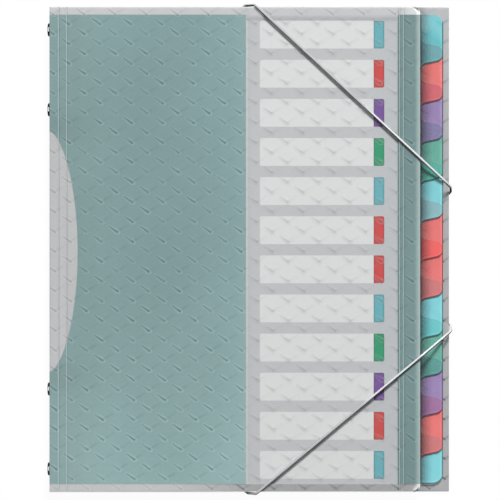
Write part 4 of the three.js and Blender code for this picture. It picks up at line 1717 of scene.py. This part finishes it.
@dataclass
class Dividers:
    """The twelve dividers, whose tabs step down the fore-edge."""

    reach: float = 14.6 * MM
    pitch: float = 24.77 * MM
    root_half: float = 19.5 * MM
    tip_half: float = 16.45 * MM
    root_radius: float = 4.5 * MM
    tip_radius: float = 5.0 * MM
    end_radius: float = 6.7 * MM
    leaf_radius: float = 3.0 * MM
    arc_steps: int = 8
    step: float = 9.0 * MM
    # A shaded copy of the cyan for the first tab, which lies on top of the stack: painted shade.
    first_colour: Colour = srgb(100, 204, 212)
    tab_columns: int = 30
    tab_rows: int = 40
    band_rows: int = 10
    far: float = 50.0 * MM

    def build(self) -> None:
        """Makes each divider in place of its node."""
        materials: dict[tuple[Hue, Hue | None, bool], bpy.types.Material] = {}
        for number, pair in enumerate(zip(TAB_HUES, (*TAB_HUES[1:], None)), start=1):
            node = f"divider_{number:02d}"
            low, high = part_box(node)
            fore_edge = high.x - self.reach
            key = (*pair, number == 1)
            if key not in materials:
                # The first tab takes the shaded copy of its colour: painted shade.
                deep = self.first_colour if number == 1 else None
                materials[key] = DividerFilm(*pair, tab_left=fore_edge, deep=deep).material()
            middle = ((len(TAB_HUES) + 1) / 2 - number) * self.pitch
            sheet = self.sheet(low, high, middle)
            stand_in(sheet, node, "leaf", f"leaf_{number:02d}", materials[key])

    def side(self, x: Array, room: float) -> Array:
        """Half height of a tab at distances from the fore-edge.

        The side is a straight slope from the root to the tip, with an arc of the root's radius into the
        fore-edge and one of the tip's radius into the tip. Where the leaf's own edge leaves no room for
        the root, the side is that edge, with one arc into the tip.

        Args:
            x: Distances from the fore-edge.
            room: Distance from the tab's middle to the leaf's edge.

        Returns:
            The half height at each distance.
        """
        if room < self.root_half:
            beyond = np.clip(x - (self.reach - self.end_radius), 0, self.end_radius)
            return room - self.end_radius + np.sqrt(self.end_radius**2 - beyond**2)
        run = np.array([self.reach, self.tip_half - self.root_half])
        square = np.array([-run[1], run[0]]) / np.hypot(*run)
        rise = (1 - square[0]) / square[1]
        slope = self.root_half + run[1] * x / run[0]
        root, tip = self.root_radius, self.tip_radius
        root_arc = self.root_half + rise * root - np.sqrt(root**2 - np.clip(root - x, 0, root) ** 2)
        inset = np.clip(x - (self.reach - tip), 0, tip)
        tip_arc = self.tip_half - rise * tip + np.sqrt(tip**2 - inset**2)
        in_root = x < root * (1 - square[0])
        in_tip = x > self.reach - tip * (1 - square[0])
        return np.where(in_root, root_arc, np.where(in_tip, tip_arc, slope))

    def sheet(self, low: Vector, high: Vector, middle: float) -> Surface:
        """One divider: a grid for the leaf and one for the tab, which share the points at the tab's root.

        Args:
            low: Lowest corner of the node.
            high: Highest corner of the node.
            middle: Height of the tab's middle.

        Returns:
            The closed sheet.
        """
        leaf_edge = high.y
        fore_edge = high.x - self.reach
        share = 0.5 - 0.5 * np.cos(np.linspace(0, np.pi, self.tab_columns))
        across = 0.5 - 0.5 * np.cos(np.linspace(0, np.pi, self.tab_rows))
        x = self.reach * share
        top = middle + self.side(x, leaf_edge - middle)
        foot = middle - self.side(x, leaf_edge + middle)
        tab_y = foot[:, None] + (top - foot)[:, None] * across[None]
        columns = stations((low.x, fore_edge - self.leaf_radius, self.step))
        columns, corner_y = rounded_end(columns, (fore_edge, leaf_edge), self.leaf_radius, self.arc_steps)
        rise = np.linspace(0, 1, self.band_rows)[None]
        root = np.repeat(tab_y[:1], len(columns), axis=0)
        bands = [root]
        if foot[0] > -leaf_edge + self.leaf_radius:
            bands.insert(0, (-corner_y[:, None] * (1 - rise) + foot[0] * rise)[:, :-1])
        if top[0] < leaf_edge - self.leaf_radius:
            bands.append((top[0] * (1 - rise) + corner_y[:, None] * rise)[:, 1:])
        leaf_y = np.concatenate(bands, axis=1)
        first = bands[0].shape[1] if bands[0] is not root else 0
        leaf_x = np.repeat(columns[:, None], leaf_y.shape[1], axis=1)
        leaf_index = np.arange(leaf_y.size).reshape(leaf_y.shape)
        new_index = leaf_y.size + np.arange(tab_y[1:].size).reshape(tab_y[1:].shape)
        tab_index = np.concatenate([leaf_index[-1:, first : first + self.tab_rows], new_index])
        tab_x = np.repeat(fore_edge + x[1:, None], self.tab_rows, axis=1)
        flat = np.concatenate(
            [np.stack([leaf_x, leaf_y], -1).reshape(-1, 2), np.stack([tab_x, tab_y[1:]], -1).reshape(-1, 2)]
        )
        quads = np.concatenate([grid_quads(leaf_index), grid_quads(tab_index)])
        inside = np.minimum(tab_y[1:] - foot[1:, None], (self.reach - x[1:])[:, None])
        edge = np.concatenate([np.full(leaf_y.size, self.far), inside.ravel()])
        next_top = middle - self.pitch + self.side(x, self.far)
        beyond = (next_top[:, None] - tab_y)[1:]
        overlap = np.concatenate([np.full(leaf_y.size, -self.far), beyond.ravel()])
        overlap[tab_index[0]] = (next_top[:1, None] - tab_y[:1]).ravel()
        sheet = two_sided_sheet(flat, quads, low.z, high.z, edge)
        sheet.attributes["overlap"] = np.tile(overlap, 2)
        return sheet


@dataclass
class Gusset:
    """The pleated strip inside the spine: hairpin folds, one for each leaf, on a flat base."""

    leaf_pitch: float = 0.9 * MM
    wall: float = 0.2 * MM
    base: float = 0.4 * MM
    valley: float = 3.6 * MM
    arc_steps: int = 9
    wall_steps: int = 3

    def build(self) -> None:
        """Makes the gusset in place of its node."""
        low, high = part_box("gusset")
        line, wall, fold = self.middle_line(low, high)
        ahead = np.roll(line, -1, axis=0) - np.roll(line, 1, axis=0)
        ahead /= np.linalg.norm(ahead, axis=1, keepdims=True)
        square = np.stack([ahead[:, 1], -ahead[:, 0]], -1) * wall[:, None] / 2
        gusset = self.hollow_bar(line + square, line - square, high.y, fold)
        stand_in(gusset, "gusset", "pleats", "spine", PleatFilm().material())

    def middle_line(self, low: Vector, high: Vector) -> tuple[Array, Array, Array]:
        """Middle of the film as a closed loop in X and Z: straight walls joined by half circles.

        Each pleat runs out along one wall, round a half circle at its peak, back along the next wall and
        round a half circle in the valley. The base closes the loop.

        Args:
            low: Lowest corner of the node.
            high: Highest corner of the node.

        Returns:
            The loop, the thickness at each point, and each point's distance from a fold.
        """
        count = len(TAB_HUES) + 1
        radius = self.leaf_pitch / 4
        peak = high.x - self.wall / 2 - radius
        valley = from_spine(self.valley) + self.wall / 2 + radius
        turn = np.linspace(-np.pi / 2, np.pi / 2, self.arc_steps)
        out = np.stack([peak + radius * np.cos(turn), radius * np.sin(turn)], -1)
        back = np.stack([valley - radius * np.cos(turn), 2 * radius + radius * np.sin(turn)], -1)
        wall_x = np.linspace(valley, peak, self.wall_steps + 2)[1:-1]
        along = np.stack([wall_x, np.full(self.wall_steps, -radius)], -1)
        pleat = np.concatenate([along, out, along[::-1] * [1, -1], back])
        middles = (low.z + high.z) / 2 + (np.arange(count) - (count - 1) / 2) * self.leaf_pitch
        pleats = (pleat[None] + np.stack([np.zeros(count), middles], -1)[:, None]).reshape(-1, 2)
        pleats = pleats[: -self.arc_steps]
        base_x = low.x + self.base / 2
        ends = np.array([[base_x, pleats[-1, 1]], [base_x, pleats[0, 1]]])
        line = np.concatenate([pleats, ends])
        wall = np.concatenate([np.full(len(pleats), self.wall), np.full(2, self.base)])
        fold = np.minimum(np.abs(line[:, 0] - high.x), np.abs(line[:, 0] - from_spine(self.valley)))
        return line, wall, fold

    def hollow_bar(self, outer: Array, inner: Array, half: float, fold: Array) -> Surface:
        """Bar along Y with an outer and an inner loop, joined at its two ends by a ring of quads.

        Args:
            outer: X and Z of the outer loop.
            inner: X and Z of the inner loop.
            half: Half of its length.
            fold: Distance of each point from a fold.

        Returns:
            The closed bar, with the distance as its fold attribute.
        """
        count = len(outer)
        loops = np.stack([outer, inner])
        rows = np.array([-half, half])
        points = np.empty((2, count, 2, 3))
        points[..., 0] = loops[:, :, None, 0]
        points[..., 1] = rows
        points[..., 2] = loops[:, :, None, 1]
        index = np.arange(4 * count).reshape(2, count, 2)
        closed = np.concatenate([index, index[:, :1]], axis=1)
        skins = [grid_quads(closed[0]), grid_quads(closed[1])[:, ::-1]]
        caps = [grid_quads(closed[:, :, 1]), grid_quads(closed[:, :, 0])[:, ::-1]]
        return Surface(
            points=points.reshape(-1, 3),
            faces=[*skins, *caps],
            smooth=[True, True, False, False],
            attributes={"fold": np.tile(np.repeat(fold, 2), 2)},
        )


@dataclass
class Rivets:
    """Domed rivets through the spine with their washers."""

    count: int = 4
    sides: int = 48
    rim: float = 0.25 * MM
    fullness: float = 2.7
    dome_steps: int = 14
    shank: float = 1.6 * MM
    clinch: float = 2.7 * MM
    bore: float = 1.0 * MM
    bore_depth: float = 1.7 * MM
    clinch_height: float = 0.5 * MM
    lip_drop: float = 0.3 * MM
    lip_steps: int = 9
    seat: float = -0.15 * MM
    washer_ease: float = 0.12 * MM
    washer_bore: float = 1.9 * MM

    def build(self) -> None:
        """Makes each rivet and washer in place of its node."""
        bright = RivetPlate().material()
        plain = PlainSteel("washer_steel", roughness=0.3).material()
        for number in range(1, self.count + 1):
            for node, make, metal, slot in (
                (f"rivet_{number}", self.rivet, bright, "bright_steel"),
                (f"rivet_washer_{number}", self.washer, plain, "plain_steel"),
            ):
                stand_in(make(*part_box(node)), node, "turned", "spine", metal)

    def rivet(self, low: Vector, high: Vector) -> Surface:
        """A rivet: a dome, a rim, the shank and the hollow clinched end.

        The dome's profile is a quarter of a superellipse, and the clinched lip falls with the cube of the
        distance from its middle.

        Args:
            low: Lowest corner of the node.
            high: Highest corner of the node.

        Returns:
            The closed rivet.
        """
        middle = Vector((0, (low.y + high.y) / 2, (low.z + high.z) / 2))
        head = (high.y - low.y) / 2
        seat = from_spine(self.seat)
        rise = seat - self.rim - low.x
        turn = np.linspace(0, np.pi / 2, self.dome_steps)
        power = 2 / self.fullness
        dome = np.stack([low.x + rise * (1 - np.cos(turn) ** power), head * np.sin(turn) ** power], -1)
        under, bottom = high.x - self.clinch_height, high.x - self.bore_depth
        body = np.array([[seat, head], [seat, self.shank], [under, self.shank], [under, self.clinch]])
        roll = np.linspace(-1, 1, self.lip_steps)
        lip_radius = self.clinch - (self.clinch - self.bore) * (roll + 1) / 2
        lip = np.stack([high.x - self.lip_drop * np.abs(roll) ** 3, lip_radius], -1)
        bore = np.array([[bottom, self.bore], [bottom, 0.0]])
        return revolved(np.concatenate([dome, body, lip, bore]), middle, self.sides)

    def washer(self, low: Vector, high: Vector) -> Surface:
        """A washer: a flat ring whose corners are cut by a small ease.

        Args:
            low: Lowest corner of the node.
            high: Highest corner of the node.

        Returns:
            The closed ring.
        """
        middle = Vector((0, (low.y + high.y) / 2, (low.z + high.z) / 2))
        outer, ease = (high.y - low.y) / 2, self.washer_ease
        corners = [
            (low.x, self.washer_bore),
            (low.x, outer - ease),
            (low.x + ease, outer),
            (high.x - ease, outer),
            (high.x, outer - ease),
            (high.x, self.washer_bore),
        ]
        return revolved(np.array([*corners, corners[0]]), middle, self.sides)


@dataclass
class Elastics:
    """The two corner elastics: a span over the front, two tails behind the back cover, and steel barbs."""

    radius: float = 0.85 * MM
    bend: float = 1.8 * MM
    bend_steps: int = 12
    step: float = 0.22 * MM
    sides: int = 32
    strands: int = 6
    lay: float = 2.2 * MM
    relief: float = 0.045 * MM
    keep: float = 0.05
    rear: float = 0.85 * MM
    front: float = 17.4 * MM
    seam: float = 3.25 * MM
    in_hole: float = 2.55 * MM
    top_edge: float = 154.6 * MM
    side_edge: float = 254.1 * MM

    def build(self) -> None:
        """Makes the cords in place of their nodes, and dresses the barbs."""
        braid = BraidedCord(strands=self.strands).material()
        plain = PlainSteel("barb_steel", roughness=0.28).material()
        for name, runs in self.routes().items():
            for part, corners in runs.items():
                node = f"elastic_{name}{part}"
                piece = stand_in(self.cord(corners), node, "braid", "back", braid)
                if not part:
                    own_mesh(piece)
            for side in ("edge", "side"):
                dress(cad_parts[f"elastic_{name}_{side}_barb"], plain)

    def routes(self) -> dict[str, dict[str, list[Point]]]:
        """Corners of each cord's route, in millimetres from the spine and the middle of the height.

        Returns:
            For each elastic, the span and its two tails.
        """
        top, low, side = self.top_edge / MM, -self.top_edge / MM, self.side_edge / MM
        front, seam = self.front / MM, self.seam / MM
        return {
            "top": {
                "": [
                    (124.44, top, seam),
                    (130.0, top, front),
                    (235.6, 56.66, front),
                    (250.2, 43.12, 12.65),
                    (side, 39.5, 5.95),
                    (side, 37.91, seam),
                ],
                "_edge_end": self.tail((105.06, 137.5), (123.5, top), (124.44, top)),
                "_side_end": self.tail((237, 21.66), (side, 36.5), (side, 37.91)),
            },
            "bottom": {
                "": [
                    (126.25, low, seam),
                    (130.7, low, front),
                    (235.6, -67.3, front),
                    (250.2, -55.15, 9.05),
                    (side, -51.9, 5.95),
                    (side, -49.57, seam),
                ],
                "_edge_end": self.tail((104.95, -137.5), (125.5, low), (126.25, low)),
                "_side_end": self.tail((237, -34.18), (side, -47.5), (side, -49.57)),
            },
        }

    def tail(self, hole: Span, turn: Span, end: Span) -> list[Point]:
        """Corners of a tail: out of its hole, along the rear, and up the edge to the span's end."""
        rear = self.rear / MM
        return [(*hole, self.in_hole / MM), (*hole, rear), (*turn, rear), (*end, self.seam / MM)]

    def cord(self, corners: list[Point]) -> Surface:
        """A braided cord along a route: straight runs joined by parabolas, in even steps of length.

        The radius rises where the sine of the turn plus or minus the length is high, as strands do.

        Args:
            corners: The route's corners, in millimetres from the spine.

        Returns:
            The closed cord.
        """
        points = np.array(corners) * MM + [SPINE_X, 0, 0]
        path = self.rounded(points)
        lengths = np.concatenate([[0], np.cumsum(np.linalg.norm(np.diff(path, axis=0), axis=1))])
        places = np.linspace(0, lengths[-1], int(lengths[-1] / self.step))
        path = np.stack([np.interp(places, lengths, path[:, k]) for k in range(3)], -1)
        runs = np.diff(points[:, :2], axis=0)
        longest = runs[np.argmax(np.linalg.norm(runs, axis=1))]
        reference = np.array([-longest[1], longest[0], 0]) / np.linalg.norm(longest)
        turn = self.strands * np.linspace(0, 2 * np.pi, self.sides, endpoint=False)
        phase = 2 * np.pi * places / self.lay
        crown = np.maximum(np.sin(turn[None] + phase[:, None]), np.sin(turn[None] - phase[:, None]))
        return tube(path, self.radius + self.relief * (crown - 1), reference, self.lay)

    def rounded(self, corners: Array) -> Array:
        """Route with each inner corner replaced by a parabola that starts and ends a bend away from it.

        Args:
            corners: The route's corners in metres.

        Returns:
            Points along the rounded route.
        """
        pieces = [corners[:1]]
        share = np.linspace(0, 1, self.bend_steps)[:, None]
        start = corners[0]
        for corner, towards in zip(corners[1:-1], corners[2:]):
            back, ahead = start - corner, towards - corner
            reach = min(self.bend, np.linalg.norm(back) / 2, np.linalg.norm(ahead) / 2)
            enter = corner + back * reach / np.linalg.norm(back)
            leave = corner + ahead * reach / np.linalg.norm(ahead)
            pieces.append((1 - share) ** 2 * enter + 2 * share * (1 - share) * corner + share**2 * leave)
            start = leave
        return np.concatenate([*pieces, corners[-1:]])


@dataclass
class Studio:
    """Pale floor, soft light from beyond the top edge and the left, and a camera straight above."""

    floor_half: float = 12.0
    floor_colour: Colour = srgb(248, 248, 248)
    floor_glow: float = 0.96
    fill: float = 0.19
    key_power: float = 305.0
    key_place: Point = (0.6, 3.4, 3.6)
    key_size: float = 1.1
    left_power: float = 2.0
    left_place: Point = (-1.3, -0.1, 0.55)
    left_size: float = 0.4
    camera_height: float = 6.0
    clip_share: float = 4.0
    view_middle: Span = (0.0001, -0.0004)
    view_width: float = 0.3163
    sensor: float = 36.0

    def build(self) -> None:
        """Makes the stage, the lights and the camera."""
        bpy.context.scene.view_settings.view_transform = "Standard"
        self.floor()
        self.world()
        self.lamp("key_light", self.key_place, self.key_size, self.key_power)
        self.lamp("left_light", self.left_place, self.left_size, self.left_power)
        self.camera()

    def seen_directly(self, tree: Tree) -> Socket:
        """One for rays from the camera, through clear faces and off glossy ones."""
        path = tree.node("ShaderNodeLightPath").outputs
        direct = tree.larger(path["Is Camera Ray"], path["Is Transmission Ray"])
        return tree.larger(direct, path["Is Glossy Ray"])

    def floor(self) -> None:
        """A white floor that glows for the camera and still keeps a share of the shadows."""
        half = self.floor_half
        mesh = bpy.data.meshes.new("floor")
        corners = [(-half, -half, 0), (half, -half, 0), (half, half, 0), (-half, half, 0)]
        mesh.from_pydata(corners, [], [(0, 1, 2, 3)])
        floor = bpy.data.objects.new("floor", mesh)
        bpy.context.scene.collection.objects.link(floor)
        material = bpy.data.materials.new("floor_white")
        tree = Tree(emptied(material))
        matt = tree.node("ShaderNodeBsdfDiffuse", {"Color": self.floor_colour}).outputs[0]
        glow = tree.node("ShaderNodeEmission", {"Color": FULL_WHITE}).outputs[0]
        share = tree.times(self.seen_directly(tree), self.floor_glow)
        mixed = tree.node("ShaderNodeMixShader", {0: share, 1: matt, 2: glow}).outputs[0]
        tree.node("ShaderNodeOutputMaterial", {"Surface": mixed})
        mesh.materials.append(material)

    def world(self) -> None:
        """Even soft light from all round, seen as white."""
        world = bpy.data.worlds.new("studio")
        tree = Tree(emptied(world))
        soft = tree.node("ShaderNodeBackground", {"Color": FULL_WHITE, "Strength": self.fill}).outputs[0]
        white = tree.node("ShaderNodeBackground", {"Color": FULL_WHITE, "Strength": 1.0}).outputs[0]
        mixed = tree.node("ShaderNodeMixShader", {0: self.seen_directly(tree), 1: soft, 2: white}).outputs[0]
        tree.node("ShaderNodeOutputWorld", {"Surface": mixed})
        bpy.context.scene.world = world

    def lamp(self, name: str, place: Point, size: float, power: float) -> None:
        """A square soft lamp that looks at the folder's middle.

        Args:
            name: The lamp's name.
            place: Where it stands.
            size: Length of its side.
            power: Its power in watts.
        """
        light = bpy.data.lights.new(name, "AREA")
        light.size, light.energy = size, power
        lamp = bpy.data.objects.new(name, light)
        lamp.location = place
        lamp.rotation_euler = (-Vector(place)).to_track_quat("-Z", "Y").to_euler()
        bpy.context.scene.collection.objects.link(lamp)

    def camera(self) -> None:
        """A camera with a long lens whose square view at the front cover has the photograph's width."""
        data = bpy.data.cameras.new("camera")
        data.sensor_width = self.sensor
        distance = self.camera_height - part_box("front_cover")[1].z
        data.lens = self.sensor * distance / self.view_width
        data.clip_end = self.clip_share * self.camera_height
        camera = bpy.data.objects.new("camera", data)
        camera.location = (*self.view_middle, self.camera_height)
        bpy.context.scene.collection.objects.link(camera)
        bpy.context.scene.camera = camera


def main() -> None:
    """Builds the stage and each sub-assembly in turn."""
    logging.basicConfig(level=logging.INFO, format="%(message)s")
    Studio().build()
    for assembly in (Covers(), IndexSheet(), Dividers(), Gusset(), Rivets(), Elastics()):
        assembly.build()


if __name__ == "__main__":
    main()
